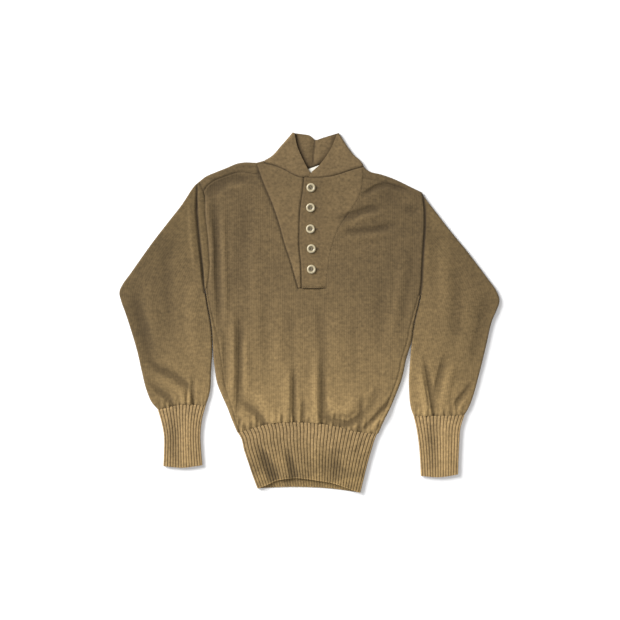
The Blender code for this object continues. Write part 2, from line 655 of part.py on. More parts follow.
def ring(front, back, height, cloth, plan, hollow, rib=0.0):
    """Outer and inner points of one flattened ring between a front line and a back line, left to right."""
    width = np.linalg.norm(np.array(front[-1]) - np.array(front[0]))
    radius = height / 2
    sides = []
    for inward in (0.0, cloth):
        size = radius - inward
        places = []
        for zone, place, crest in plan:
            reach = size + rib * crest if inward == 0.0 else size
            if zone == "left":
                places.append((radius - reach * math.cos(place), radius + reach * math.sin(place)))
            elif zone == "right":
                places.append((width - radius + reach * math.cos(place), radius + reach * math.sin(place)))
            elif zone == "top":
                places.append((radius + place * (width - 2 * radius), radius + reach))
            else:
                places.append((radius + place * (width - 2 * radius), radius - size))
        sides.append(np.array(places))
    zones = np.array([zone for zone, place, crest in plan])
    upper = np.array([place if zone == "top" else 0.0 for zone, place, crest in plan])
    found = []
    for places in sides:
        share = np.clip(places[:, 0] / width, 0.0, 1.0)
        mix = np.clip(sides[0][:, 1] / height, 0.0, 1.0)[:, None]
        flat = (1 - mix) * along(back, share) + mix * along(front, share)
        found.append(raised(flat, places[:, 1]))
    calm = np.clip(np.minimum(upper, 1 - upper) * width / CALM_EDGE, 0.0, 1.0)
    lift = np.where(zones == "top", relief(found[0][:, :2]) * calm, 0.0)
    lift = fitted(lift, hollow) * (zones == "top")
    for side in found:
        side[:, 2] += lift
    return found


def make_tube(name, rings, cloth, plan, collection, colour, hollow, rib=0.0):
    """A flattened tube of cloth through rings, each a front line, a back line and a height."""
    faces = [ring(front, back, height, cloth, plan, hollow, rib) for front, back, height in rings]
    outer = np.array([face[0] for face in faces])
    inner = np.array([face[1] for face in faces])
    cloth_wall(name, outer, inner, collection, colour, closed=True)


def make_sleeve(name, side, table, armhole, starts, seam_bow, collection):
    """A sleeve from the armhole seam, round the elbow, to the cuff seam."""
    heights = steps(10, armhole[0][0] + SEAM_GAP, armhole[-1][0])
    first = np.column_stack([read(armhole, heights)[:, 0] + side * SEAM_GAP, heights])
    lines = [first] + [np.array(start, float) for start in starts]
    for inner_x, inner_y, outer_x, outer_y in table:
        lines.append(np.array([(inner_x, inner_y), (outer_x, outer_y)], float))
    for place, bow in ((-1, seam_bow), (-2, seam_bow / 2)):
        middle = lines[place].mean(axis=0) + (0.0, bow)
        lines[place] = np.array([lines[place][0], middle, lines[place][1]])
    rings = []
    for place, line in enumerate(lines):
        height = BODY_HEIGHT + (SLEEVE_HEIGHT - BODY_HEIGHT) * min(place / 3, 1.0)
        line = line if side > 0 else line[::-1]
        rings.append((line, line, height))
    plan = ring_plan(SLEEVE_BOTTOM_COLUMNS, top=SLEEVE_TOP_COLUMNS)
    make_tube(name, rings, CLOTH, plan, collection, SLEEVE_BROWN, SLEEVE_HOLLOW)


def make_cuff(name, left, right, seam_bow, collection):
    """A ribbed cuff: ribs run down its top and sides over a plain inside and a flat underside."""
    bows = np.array([0.0, 1.0, 0.0])[:, None] * np.array([[0.0, 1.0]])
    rings = []
    for place in CUFF_ROWS:
        ends = np.array([along(left, place), along(right, place)])
        bow = (1 - place) * seam_bow + place * CUFF_MOUTH_BOW
        line = along(ends, steps(2)) + bows * bow
        rings.append((line, line, RIB_BASE))
    plan = ring_plan(CUFF_BOTTOM_COLUMNS, ribs=CUFF_RIBS)
    make_tube(name, rings, RIB_CLOTH, plan, collection, CUFF_BROWN, RIB_HOLLOW, RIB_HEIGHT)


def make_waistband(collection):
    """The ribbed waistband: its front hem arches up over the inside of its back hem."""
    fine = steps(BAND_FINE_ROWS)
    left = along(BAND_LEFT, fine)
    right = along(BAND_RIGHT, fine)
    front = patch(left, right, along(BAND_FRONT_SEAM, fine), along(BAND_FRONT_HEM, fine))
    back = patch(left, right, along(BAND_BACK_SEAM, fine), along(BAND_BACK_HEM, fine))
    rings = []
    for place in BAND_ROWS:
        row = place * BAND_FINE_ROWS
        below = min(int(row), BAND_FINE_ROWS - 1)
        share = row - below
        lines = [(1 - share) * layer[below] + share * layer[below + 1] for layer in (front, back)]
        rings.append((lines[0], lines[1], RIB_BASE))
    plan = ring_plan(BAND_BOTTOM_COLUMNS, ribs=FRONT_RIBS)
    make_tube("waistband", rings, RIB_CLOTH, plan, collection, BAND_BROWN, RIB_HOLLOW, RIB_HEIGHT)


def make_insets(collection):
    """The two halves of the neck inset: the left one runs a little way under the right one."""
    rows = UPPER_ROWS + 1
    under_columns = FLAP_COLUMNS + NECK_SIDE_COLUMNS
    top = BODY_HEIGHT + INSET_CLOTH - CLOTH
    neck_side = shifted(neck_side_seam(), y=-HALF_GAP)
    left_shoulder, right_shoulder = shoulder_seams()
    seam = inset_seam(LEFT_INSET_SEAM, left_shoulder[-1, 1] - HALF_GAP, neck_side[0, 1])
    left = shifted(seam, x=HALF_GAP)
    right = along(UNDER_EDGE, steps(rows))
    neck = shifted(along(LEFT_NECK_SEAM, steps(FLAP_COLUMNS)), y=-HALF_GAP)
    high = np.concatenate([left[-1:], neck, right[-1:]])
    low = along([left[0], right[0]], steps(under_columns))
    under = patch(left, right, low, high)
    dip = fitted(relief(under), HOLLOW)
    outer = raised(under, top + dip)
    inner = raised(under, top - INSET_CLOTH + dip)
    cloth_wall("inset_under", outer, inner, collection, INSET_BROWN)

    edge = along(PLACKET_EDGE, steps(rows))
    seam = inset_seam(RIGHT_INSET_SEAM, right_shoulder[0, 1] - HALF_GAP, RIGHT_INSET_SEAM[-1][1])
    right = shifted(seam, x=-HALF_GAP)
    slope_start = along(SLOPE_START, steps(rows))
    slope_end = shifted(slope_start, x=PLACKET_SLOPE)
    over_top = top + SEAM_GAP + INSET_CLOTH
    groups = []
    spans = (
        (edge, slope_start, over_top, over_top),
        (slope_start, slope_end, over_top, top),
        (slope_end, right, top, top),
    )
    for (start, end, first, last), columns in zip(spans, SLOPE_COLUMNS):
        share = steps(columns)
        flat = start[:, None] + (end - start)[:, None] * share[None, :, None]
        eased = first + (last - first) * share**2 * (3 - 2 * share)
        groups.append(raised(flat, np.broadcast_to(eased, flat.shape[:-1])))
    over = np.concatenate([groups[0], groups[1][:, 1:], groups[2][:, 1:]], axis=1)
    neck = read(RIGHT_NECK_SEAM, over[-1, :, 0])[:, 0] - SEAM_GAP
    rise = steps(rows)[:, None]
    over[..., 1] += rise**2 * (neck - over[-1, :, 1])[None]
    inner = over - np.array([0.0, 0.0, INSET_CLOTH])
    cloth_wall("inset_over", over, inner, collection, INSET_BROWN)
    return over_top


def face_normals(points):
    """The upward-turning normal at each point of a grid, from its neighbours."""
    along_rows = np.gradient(points, axis=0)
    along_columns = np.gradient(points, axis=1)
    normal = np.cross(along_columns, along_rows)
    return normal / np.linalg.norm(normal, axis=-1, keepdims=True)


def make_collar(collection):
    """The collar: a double band that lies on the floor behind the neck and folds over at each side."""
    rise = steps(COLLAR_ROWS)
    radius = COLLAR_HEIGHT / 2
    middle_radius = radius - COLLAR_CLOTH / 2
    upper = radius + middle_radius
    folds = []
    for line, side in ((COLLAR_LEFT_FOLD, -1), (COLLAR_RIGHT_FOLD, 1)):
        outline = along(line, rise)
        run = np.gradient(outline, axis=0)
        out = np.column_stack([run[:, 1], -run[:, 0]]) * side
        out /= np.linalg.norm(out, axis=1, keepdims=True)
        out[0] = COLLAR_FOOT_TURN[side]
        out[-1] = COLLAR_TOP_TURN[side]
        folds.append((outline, out))
    columns = []
    flap_columns = FLAP_COLUMNS
    back_columns = NECK_COLUMNS - 1

    left_outline, left_out = folds[0]
    left_top = left_outline - radius * left_out
    left_edge = along(COLLAR_LEFT_EDGE, rise)
    base = shifted(along(LEFT_NECK_SEAM, steps(flap_columns)), y=HALF_GAP)[::-1]
    base[-1] = left_top[0]
    crown = along([left_edge[-1], left_top[-1]], steps(flap_columns))
    flap = patch(left_edge, left_top, base, crown)
    columns += [raised(flap[:, place], upper) for place in range(flap_columns)]
    turn = np.radians(COLLAR_TURN)
    for angle in turn:
        place = left_outline - left_out * (radius - middle_radius * math.cos(angle))
        columns.append(raised(place, radius + middle_radius * math.sin(angle)))

    right_outline, right_out = folds[1]
    right_top = right_outline - radius * right_out
    seam = shifted(along(BACK_NECK_SEAM, steps(back_columns)), y=HALF_GAP)
    seam[0], seam[-1] = left_top[0], right_top[0]
    top = along(COLLAR_BACK_TOP, steps(back_columns))
    top[0], top[-1] = left_top[-1], right_top[-1]
    back = patch(left_top, right_top, seam, top)
    lower = radius - middle_radius
    columns += [raised(back[:, place], lower) for place in range(1, back_columns)]
    for angle in turn[::-1]:
        place = right_outline - right_out * (radius - middle_radius * math.cos(angle))
        columns.append(raised(place, radius + middle_radius * math.sin(angle)))

    right_edge = along(COLLAR_RIGHT_EDGE, rise)
    base = shifted(along(RIGHT_NECK_SEAM, steps(flap_columns)), y=HALF_GAP)[::-1]
    base[0] = right_top[0]
    crown = along([right_top[-1], right_edge[-1]], steps(flap_columns))
    flap = patch(right_top, right_edge, base, crown)
    for place in range(1, flap_columns + 1):
        lap = max(0.0, place / flap_columns - COLLAR_LAP_START) / (1 - COLLAR_LAP_START)
        columns.append(raised(flap[:, place], upper + COLLAR_LAP * lap * (1 - rise) ** 1.5))
    middle = np.stack(columns, axis=1)
    normal = face_normals(middle)
    normal[:, flap_columns + len(turn) - 1 : flap_columns + len(turn) + back_columns - 1] = (0.0, 0.0, 1.0)
    outer = middle + normal * COLLAR_CLOTH / 2
    inner = middle - normal * COLLAR_CLOTH / 2
    cloth_wall("collar", outer, inner, collection, COLLAR_BROWN)


def make_button_mesh(collection, cutters):
    """A turned button with a raised rim and four holes."""
    profile = bmesh.new()
    rim = [profile.verts.new((radius * MM, 0.0, height * MM)) for radius, height in BUTTON_PROFILE]
    for start, end in zip(rim, rim[1:]):
        profile.edges.new((start, end))
    mesh = bpy.data.meshes.new("button_profile")
    profile.to_mesh(mesh)
    profile.free()
    turned = bpy.data.objects.new("button_turned", mesh)
    collection.objects.link(turned)
    screw = turned.modifiers.new("Turn", "SCREW")
    screw.steps = BUTTON_STEPS
    screw.render_steps = BUTTON_STEPS
    screw.use_merge_vertices = True
    screw.merge_threshold = 0.00005
    holes = bmesh.new()
    for x in (-1, 1):
        for y in (-1, 1):
            drilled = bmesh.ops.create_cone(
                holes,
                cap_ends=True,
                segments=BUTTON_HOLE_SIDES,
                radius1=BUTTON_HOLE_RADIUS * MM,
                radius2=BUTTON_HOLE_RADIUS * MM,
                depth=10 * MM,
            )
            place = (x * BUTTON_HOLE_PLACE * MM, y * BUTTON_HOLE_PLACE * MM, 0.0)
            bmesh.ops.translate(holes, vec=place, verts=drilled["verts"])
    hole_mesh = bpy.data.meshes.new("button_holes")
    holes.to_mesh(hole_mesh)
    holes.free()
    cutter = bpy.data.objects.new("button_holes", hole_mesh)
    cutter.hide_render = True
    cutter.display_type = "WIRE"
    cutters.objects.link(cutter)
    cut = turned.modifiers.new("Holes", "BOOLEAN")
    cut.object = cutter
    cut.solver = "EXACT"
    graph = bpy.context.evaluated_depsgraph_get()
    finished = bpy.data.meshes.new_from_object(turned.evaluated_get(graph))
    bpy.data.objects.remove(turned, do_unlink=True)
    return finished


def make_buttons(collection, cutters, top):
    mesh = make_button_mesh(collection, cutters)
    for number, (x, y) in enumerate(BUTTON_PLACES, start=1):
        button = new_object(f"button_{number}", mesh.copy(), collection, BUTTON_HORN, BUTTON_ROUGHNESS)
        button.location = (x * MM, y * MM, (top + SEAM_GAP) * MM)


def make_label(collection):
    """The bare label sewn inside the back, at the neck seam."""
    thickness = LABEL_SIZE[2] * MM
    shape = bmesh.new()
    bmesh.ops.create_cube(shape, size=1.0)
    bmesh.ops.scale(shape, vec=[size * MM for size in LABEL_SIZE], verts=shape.verts)
    corners = [e for e in shape.edges if abs(e.verts[0].co.z - e.verts[1].co.z) > thickness / 2]
    bmesh.ops.bevel(
        shape,
        geom=corners,
        offset=LABEL_CORNER * MM,
        segments=2,
        profile=0.5,
        affect="EDGES",
        material=-1,
    )
    mesh = bpy.data.meshes.new("neck_label")
    shape.to_mesh(mesh)
    shape.free()
    label = new_object("neck_label", mesh, collection, LABEL_WHITE)
    label.rotation_euler = (0.0, 0.0, math.radians(LABEL_TURN))
    height = (CLOTH + SEAM_GAP) * MM + thickness / 2
    label.location = (LABEL_PLACE[0] * MM, LABEL_PLACE[1] * MM, height)


def main():
    clear_scene()
    sweater = bpy.data.collections.new("pullover_sweater")
    cutters = bpy.data.collections.new("cutters")
    cutters.hide_render = True
    bpy.context.scene.collection.children.link(sweater)
    bpy.context.scene.collection.children.link(cutters)
    make_front(sweater)
    make_back(sweater)
    armhole = along([(x, y) for y, x in LEFT_ARMHOLE], steps(len(LEFT_GROOVE) - 1))
    strip = (np.array(LEFT_GROOVE) + armhole) / 2
    left_starts = [strip, LEFT_GROOVE, LEFT_SLEEVE_ROLL]
    right_starts = [RIGHT_SLEEVE_ROLL]
    make_sleeve("sleeve_left", -1, LEFT_SLEEVE, LEFT_ARMHOLE, left_starts, LEFT_CUFF_SEAM_BOW, sweater)
    make_sleeve("sleeve_right", 1, RIGHT_SLEEVE, RIGHT_ARMHOLE, right_starts, RIGHT_CUFF_SEAM_BOW, sweater)
    make_cuff("cuff_left", LEFT_CUFF_OUTER, LEFT_CUFF_INNER, LEFT_CUFF_SEAM_BOW, sweater)
    make_cuff("cuff_right", RIGHT_CUFF_INNER, RIGHT_CUFF_OUTER, RIGHT_CUFF_SEAM_BOW, sweater)
    make_waistband(sweater)
    placket_top = make_insets(sweater)
    make_collar(sweater)
    make_buttons(sweater, cutters, placket_top)
    make_label(sweater)


main()
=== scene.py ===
# %% [markdown]
# # A fine-knit pullover, laid flat
#
# The object is a khaki-brown pullover that lies on a pale floor with its front up. It has a stand
# collar that has fallen open, a smooth neck inset with five buttons, long sleeves, and ribbed cuffs
# and waistband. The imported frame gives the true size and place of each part. Every cloth part is
# built again here as a thin shell on the same form, with its folds, gathers, ribs and seams.
#
# Tables are in millimetres, x to the right, y towards the collar, z up from the floor.

# %% Load the frame
import math
import random

import bmesh
import bpy
import numpy as np
from mathutils import Matrix, Vector
from mathutils.kdtree import KDTree


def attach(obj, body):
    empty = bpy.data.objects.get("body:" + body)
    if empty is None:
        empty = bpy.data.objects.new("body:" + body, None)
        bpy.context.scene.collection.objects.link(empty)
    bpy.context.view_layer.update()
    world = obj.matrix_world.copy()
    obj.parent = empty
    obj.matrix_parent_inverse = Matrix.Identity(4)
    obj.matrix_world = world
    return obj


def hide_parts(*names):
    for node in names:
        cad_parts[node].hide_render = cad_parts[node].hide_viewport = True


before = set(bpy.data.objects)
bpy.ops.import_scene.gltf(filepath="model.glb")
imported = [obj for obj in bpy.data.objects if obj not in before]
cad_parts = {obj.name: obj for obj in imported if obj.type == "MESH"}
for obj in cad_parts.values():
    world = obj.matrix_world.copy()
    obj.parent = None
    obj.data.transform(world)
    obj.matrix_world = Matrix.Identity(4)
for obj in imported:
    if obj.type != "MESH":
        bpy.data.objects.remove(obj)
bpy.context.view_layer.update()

MM = 0.001
print("nodes:", sorted(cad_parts))

# %% [markdown]
# ## Lines and surfaces
#
# A garment is mostly long soft curves: seams, folds and edges. Each is a short table of points, and
# these few functions read them. `read` is a smooth curve through a table, `along` walks a line by
# its length, and `patch` fills the space between four edges, as a tailor's panel fills the space
# between its seams. A subdivided cage could do it too, but a patch keeps each seam exactly on its
# line, so that neighbouring panels meet.

# %% Smooth curves and patches
def read(table, at):
    """The other columns of a table at places in its first column, which rises."""
    rows = np.array(table, float)
    places, values = rows[:, 0], rows[:, 1:]
    slopes = np.gradient(values, places, axis=0)
    at = np.clip(np.asarray(at, float), places[0], places[-1])
    first = np.clip(np.searchsorted(places, at, side="right") - 1, 0, len(places) - 2)
    span = (places[first + 1] - places[first])[..., None]
    t = (at - places[first])[..., None] / span
    start = (1 + 2 * t) * (1 - t) ** 2 * values[first] + t * (1 - t) ** 2 * span * slopes[first]
    end = t**2 * (3 - 2 * t) * values[first + 1] - t**2 * (1 - t) * span * slopes[first + 1]
    return start + end


def along(line, at):
    """Points at fractions of the length of a smooth line through the given points."""
    points = np.array(line, float)
    lengths = np.linalg.norm(np.diff(points, axis=0), axis=1)
    places = np.concatenate([[0], np.cumsum(lengths)]) / lengths.sum()
    return read(np.column_stack([places, points]), at)


def crowded(count, share=0.6):
    """Fractions from 0 to 1 that crowd towards both ends, where a panel has its seams."""
    even = np.linspace(0, 1, count + 1)
    return even - share * np.sin(2 * np.pi * even) / (2 * np.pi)


def patch(left, right, low, high, across, rise):
    """The points between four edges: rows run from low to high, columns from left to right."""
    rise, across = rise[:, None, None], across[None, :, None]
    ruled = (1 - across) * left[:, None] + across * right[:, None]
    ruled = ruled + (1 - rise) * low[None] + rise * high[None]
    corners = (1 - rise) * ((1 - across) * low[0] + across * low[-1])
    return ruled - corners - rise * ((1 - across) * high[0] + across * high[-1])


def held(values, low=0):
    """Values held between a low limit and 1."""
    return np.clip(values, low, 1)


def bell(distance, width):
    """1 on a line, falling smoothly to 0 at a width from it."""
    return held(1 - (distance / width) ** 2) ** 2


def glow(distance, width):
    """1 on a line, fading away from it without an end."""
    return np.exp(-((distance / width) ** 2))


def chained(ends, spans):
    """Points on straight runs from end to end, at the fractions of one span for each run."""
    runs = [first + span[:, None] * (last - first) for first, last, span in zip(ends, ends[1:], spans)]
    return np.concatenate([runs[0]] + [run[1:] for run in runs[1:]])


def shifted(points, x=0, y=0):
    return points + np.array([x, y])


def raised(points, height):
    """(x, y) points given a height, one for all or one for each."""
    return np.concatenate([points, np.broadcast_to(height, points.shape[:-1])[..., None]], axis=-1)


# %% [markdown]
# ## Sizes and seam lines
#
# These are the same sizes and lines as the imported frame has: cloth on cloth with a little air
# between, and every seam where the photo shows it. Left and right are as seen from above.

# %% Cloth, air and the body's seams
CLOTH, HOLLOW = 2.4, 2.8
BODY_HEIGHT = 2 * CLOTH + HOLLOW
BODY_ROLL = BODY_HEIGHT / 2
SLEEVE_HEIGHT = 8
RIB_BASE = 7
INSET_HEIGHT = 7.8
PLACKET_HEIGHT = 10.7
HALF_GAP = 0.03
SHELL = 1.7
CUFF_RIBS, BAND_RIBS = 13, 38
NECK_LIP = 0.7

LEFT_SIDE = [
    # y, edge_x, round_to_front
    (-239, -144.6, 5), (-214, -155.2, 7.5), (-190, -164.4, 10), (-166, -175, 12.5),
    (-142, -184.5, 14.5), (-118, -189, 15.5), (-94, -191.8, 15), (-57, -194, 12),
    (-31, -195.8, 8), (-10, -199, 6), (17, -204.2, 5), (49.6, -209.2, 4.8),
]
RIGHT_SIDE = [
    # y, edge_x, round_to_front
    (-241, 138, 5.5), (-214, 150, 8), (-190, 162, 9), (-166, 172, 9),
    (-142, 181.5, 9), (-118, 188.5, 9), (-94, 193.3, 9), (-75, 199, 9),
    (-57, 204.6, 9), (-31, 208, 7.5), (-10, 212, 6), (17, 218.6, 5.2),
    (35.7, 223.6, 4.8),
]
LEFT_ARMHOLE = [
    # y, x
    (50, -205), (68, -202.2), (92, -200), (125, -202), (160, -204.5),
    (190, -208.3), (243, -213), (262.5, -221.5),
]
RIGHT_ARMHOLE = [
    # y, x
    (36.2, 221), (60, 223.8), (95, 225.6), (133, 227.8), (184, 230.8), (215, 229.5),
    (238.5, 226),
]
LEFT_FOLD = [
    (-221.5, 262.5), (-208, 273), (-187.6, 282), (-166, 290.6), (-143, 299.8),
    (-133, 301.4), (-105.9, 301),
]
RIGHT_FOLD = [
    (106.7, 297.2), (109.8, 291.6), (120.2, 283.6), (141.8, 278), (159.6, 272.2),
    (177.4, 264.8), (195.2, 256), (226, 241),
]
LEFT_SHOULDER = [
    (-212.8, 242), (-205, 254), (-194, 263), (-168, 274), (-143, 281.5),
    (-105.9, 278),
]
RIGHT_SHOULDER = [
    (106.6, 270), (130, 266), (150, 260.6), (168, 256), (183, 250.4),
    (208, 240), (227, 229),
]
LEFT_NECK_SIDE = [(-105.3, 301), (-97, 303.3), (-89.4, 305.6)]
INSET_FOOT = 49.6
LEFT_INSET_SEAM = [
    (-23, 49.6), (-29.4, 71.4), (-38.6, 103.6), (-50.2, 138), (-61.6, 179.4), (-77.6, 225.2),
    (-91.4, 257.4), (-105.6, 296),
]
RIGHT_INSET_SEAM = [
    (32.6, 49.6), (36, 86), (40.6, 120), (46.8, 142), (53.6, 162), (63.4, 180),
    (75.8, 197.6), (88.4, 215), (98.6, 234), (104.4, 254), (106.2, 272), (106.4, 288),
]
PLACKET_EDGE = [
    (-15.6, 49.6), (-17, 99), (-20.2, 133.4), (-20.2, 168), (-18, 211.4), (-13.4, 243.6),
    (-10.6, 270.4),
]
UNDER_EDGE = [(16, 49.6), (16, 200), (12, 270.4)]
SLOPE_START = [(17, 49.6), (17, 270.4)]
PLACKET_SLOPE = 34
LEFT_NECK_SEAM = [
    (-88.6, 299.9), (-74.4, 297.2), (-52, 288.8), (-29.8, 276.8), (-20.8, 273.2),
    (-3, 271.4),
]
RIGHT_NECK_SEAM = [
    (-1.4, 271.2), (19.4, 271.2), (37.2, 273.2), (59.6, 279), (81.8, 286.4), (106.4, 293.2),
]
BACK_NECK_SEAM = [
    (-88.6, 300.6), (-45, 294), (-4, 290), (8, 294), (22, 299), (62, 299.6),
    (106, 292.4),
]
BAND_FRONT_SEAM = [
    (-143.4, -239.3), (-119, -232), (-95, -225), (-65.8, -219.4), (-25, -218.8),
    (19, -221.2), (55, -227.2), (91, -236.6), (135.4, -241.3),
]
print("body from", LEFT_SIDE[0][0], "to", LEFT_FOLD[-1][1], "mm, front surface at", BODY_HEIGHT)


# %% [markdown]
# ## Folds
#
# Cloth that lies flat still has long soft troughs and ridges where it was pulled or pressed. Each
# fold is a line with a height and a width on either hand, walking along it. A wide hand and a narrow
# one make a crease that rises softly and drops sharply. A cloth simulation would put folds of its
# own elsewhere, so they are placed where the photo shows them.

# %% The folds of the front, the sleeves and the band
FOLD_STRENGTH = 1.3
BODY_FOLDS = [
    # left_hand, right_hand, height, line
    # beside the left armhole: a soft roll, then a long trough down the chest
    (9, 6, 1.6, [(-206, 270), (-204, 200), (-196, 130), (-196, 20)]),
    (14, 9, -2.6, [(-178, 262), (-190, 232), (-188, 200), (-184, 140), (-183, 60), (-178, -50)]),
    (8, 16, 1.5, [(-168, 240), (-172, 170), (-168, 60), (-164, -60)]),
    (26, 22, -0.8, [(-132, 262), (-126, 220), (-132, 150), (-140, 20)]),
    (20, 20, 0.7, [(-110, 170), (-106, 60), (-104, -80)]),
    # the long crease low on the left and its neighbours
    (15, 5, -3.2, [(-140, 20), (-140, -60), (-140.4, -120), (-142.4, -170), (-149, -225)]),
    (5, 12, 2.6, [(-152, 30), (-151, -60), (-151, -120), (-155, -200)]),
    (16, 8, 1.4, [(-132, -30), (-130, -110), (-124, -185)]),
    (8, 7, -1.3, [(-172, -20), (-169, -100), (-166, -175)]),
    # shoulders
    (16, 19, -2.6, [(-222, 214), (-203, 240), (-180, 258), (-146, 269), (-92, 264)]),
    (12, 14, 1.2, [(-176, 252), (-150, 256), (-116, 254)]),
    (7, 9, -3, [(96, 225), (106, 235), (131, 251), (147, 256), (160, 256), (176, 251), (212, 239)]),
    (20, 24, -0.9, [(132, 226), (160, 236), (200, 224)]),
    # the right chest: pulls from the inset towards the armhole
    (9, 15, -3.2, [(44, 182), (66, 191), (90, 198), (122, 209), (156, 212)]),
    (13, 10, 1.7, [(88, 184), (114, 191), (152, 194)]),
    (9, 14, -3.3, [(56, 160), (80, 163), (128, 166.5), (158, 174), (184, 180)]),
    (16, 12, 1.4, [(70, 146), (112, 150), (160, 158)]),
    (14, 18, 0.8, [(80, 124), (120, 126), (180, 134)]),
    (9, 12, -1.7, [(186, 208), (204, 206), (222, 200)]),
    (14, 20, -0.9, [(212, 170), (206, 110), (192, 20), (178, -60)]),
    (20, 14, 1.3, [(188, 120), (178, 30), (160, -80)]),
    (16, 22, -0.7, [(150, 110), (144, 20), (134, -90)]),
    # soft upright waves under the inset
    (12, 15, -0.7, [(-84, 60), (-88, -40), (-84, -140)]),
    (15, 12, 0.8, [(-62, 40), (-62, -60), (-60, -160)]),
    (13, 16, -0.7, [(-36, 40), (-34, -70), (-34, -140)]),
    (18, 12, -1.3, [(18, 30), (24, -50), (28, -130)]),
    (14, 18, 0.7, [(52, 30), (56, -60), (60, -150)]),
    (16, 16, -0.6, [(92, 30), (90, -70), (88, -160)]),
    # sharp creases just above the band
    (9, 4.5, -3.2, [(-31, -90), (-31, -170), (-31, -290)]),
    (4.5, 20, 2.2, [(-40, -80), (-41, -160), (-42, -280)]),
    (15, 4.5, -3.6, [(25, -70), (25.5, -150), (25.5, -290)]),
    (4.5, 13, 3, [(16, -70), (15, -150), (15, -280)]),
    (7, 9, -2.2, [(-12, -160), (-10, -200), (-9, -250)]),
    (9, 10, -3.8, [(-146, -166), (-128, -182), (-108, -199), (-92, -218), (-78, -256)]),
    (26, 9, 2.8, [(-122, -150), (-96, -182), (-76, -212), (-62, -256)]),
    (8, 10, 1.8, [(-146, -196), (-126, -212), (-110, -232)]),
    (10, 10, -3.8, [(10, -196), (36, -211), (60, -222), (80, -223), (104, -208), (124, -186)]),
    (20, 12, 2.8, [(36, -160), (52, -196), (76, -198), (100, -170)]),
    (8, 8, -2.6, [(106, -160), (105, -194), (100, -250)]),
    (6, 7, -2.6, [(170, -160), (158, -180), (136, -206), (110, -232), (90, -256)]),
    (9, 5, 2, [(172, -176), (150, -206), (128, -228), (108, -256)]),
    (12, 12, -1.3, [(146, -140), (128, -176), (116, -206)]),
]
SLEEVE_FOLDS = [
    # the left arm: the roll over the armhole, then pulls above the cuff
    (3.2, 5, -3.2, [(-224, 330), (-225.4, 204), (-222.8, 171.2), (-215, 99.4), (-210, 40.4), (-208, -30)]),
    (12, 6, 1.6, [(-240, 232), (-240, 190), (-234, 130), (-226, 60)]),
    (8, 12, -3.6, [(-326, -88), (-300, -112), (-268, -126), (-240, -148), (-222, -180)]),
    (12, 10, 2.8, [(-312, -126), (-284, -142), (-258, -158), (-244, -196)]),
    (8, 10, -3.3, [(-326, -134), (-304, -154), (-284, -168), (-270, -188), (-264, -212)]),
    (12, 8, 1.7, [(-300, -84), (-272, -104), (-236, -128)]),
    (6, 6, 1.8, [(-240, -124), (-240, -160), (-240, -210)]),
    (8, 5, -1.8, [(-233, -124), (-233, -160), (-233, -210)]),
    (18, 18, -1.1, [(-262, 180), (-286, 100), (-280, 20), (-270, -70)]),
    (20, 22, 1.3, [(-322, 90), (-318, 20), (-300, -70)]),
    (26, 24, -2.6, [(-360, 60), (-336, -30), (-316, -130)]),
    (24, 20, 1.3, [(-240, 80), (-234, -20), (-228, -110)]),
    # the right arm
    (12, 12, -0.8, [(238, 232), (241, 180), (238, 120)]),
    (11, 4.5, -3.6, [(226, -76), (235, -120), (242, -160), (249, -206), (252, -250)]),
    (4.5, 16, 2.4, [(218, -90), (227, -136), (235, -190), (238, -240)]),
    (14, 8, -2.2, [(276, -70), (264, -110), (254, -150), (250, -190)]),
    (12, 12, 1.8, [(292, -90), (278, -136), (266, -200)]),
    (13, 8, -3.2, [(338, -126), (320, -151), (302, -170), (284, -198)]),
    (12, 12, 1.6, [(326, -160), (304, -190), (294, -220)]),
    (18, 14, -0.6, [(248, 190), (249, 110), (248, 30)]),
    (20, 18, 1.4, [(272, 150), (274, 60), (266, -40)]),
    (20, 22, -0.8, [(296, 110), (300, 10), (288, -80)]),
    (22, 20, 0.8, [(324, 70), (318, -20), (304, -110)]),
    (22, 24, -1.9, [(364, 60), (350, -30), (330, -120)]),
]
BAND_FOLDS = [
    # a deep hollow at the lower left, a soft one beside it, and waves
    (14, 16, -4.2, [(-118, -248), (-94, -284), (-77, -313), (-66, -342), (-56, -386)]),
    (11, 12, 1.6, [(-124, -280), (-106, -318), (-92, -352)]),
    (12, 11, -3, [(-46, -266), (-34, -310), (-22, -366)]),
    (14, 14, 1.4, [(-66, -270), (-52, -310), (-44, -346)]),
    (18, 18, 1.2, [(12, -240), (16, -290), (18, -350)]),
    (16, 16, -1.2, [(56, -250), (54, -300), (50, -350)]),
    (9, 9, -1.8, [(124, -242), (102, -266), (90, -290)]),
]
CUFF_FOLDS = [
    (14, 14, -1.3, [(-276, -186), (-270, -240), (-268, -318)]),
    (14, 14, 1.2, [(-246, -186), (-246, -240), (-244, -318)]),
    (16, 14, -1.3, [(244, -198), (246, -260), (250, -336)]),
    (14, 14, 1.2, [(276, -198), (272, -260), (272, -336)]),
]
print("folds placed by hand:", sum(map(len, (BODY_FOLDS, SLEEVE_FOLDS, BAND_FOLDS, CUFF_FOLDS))))


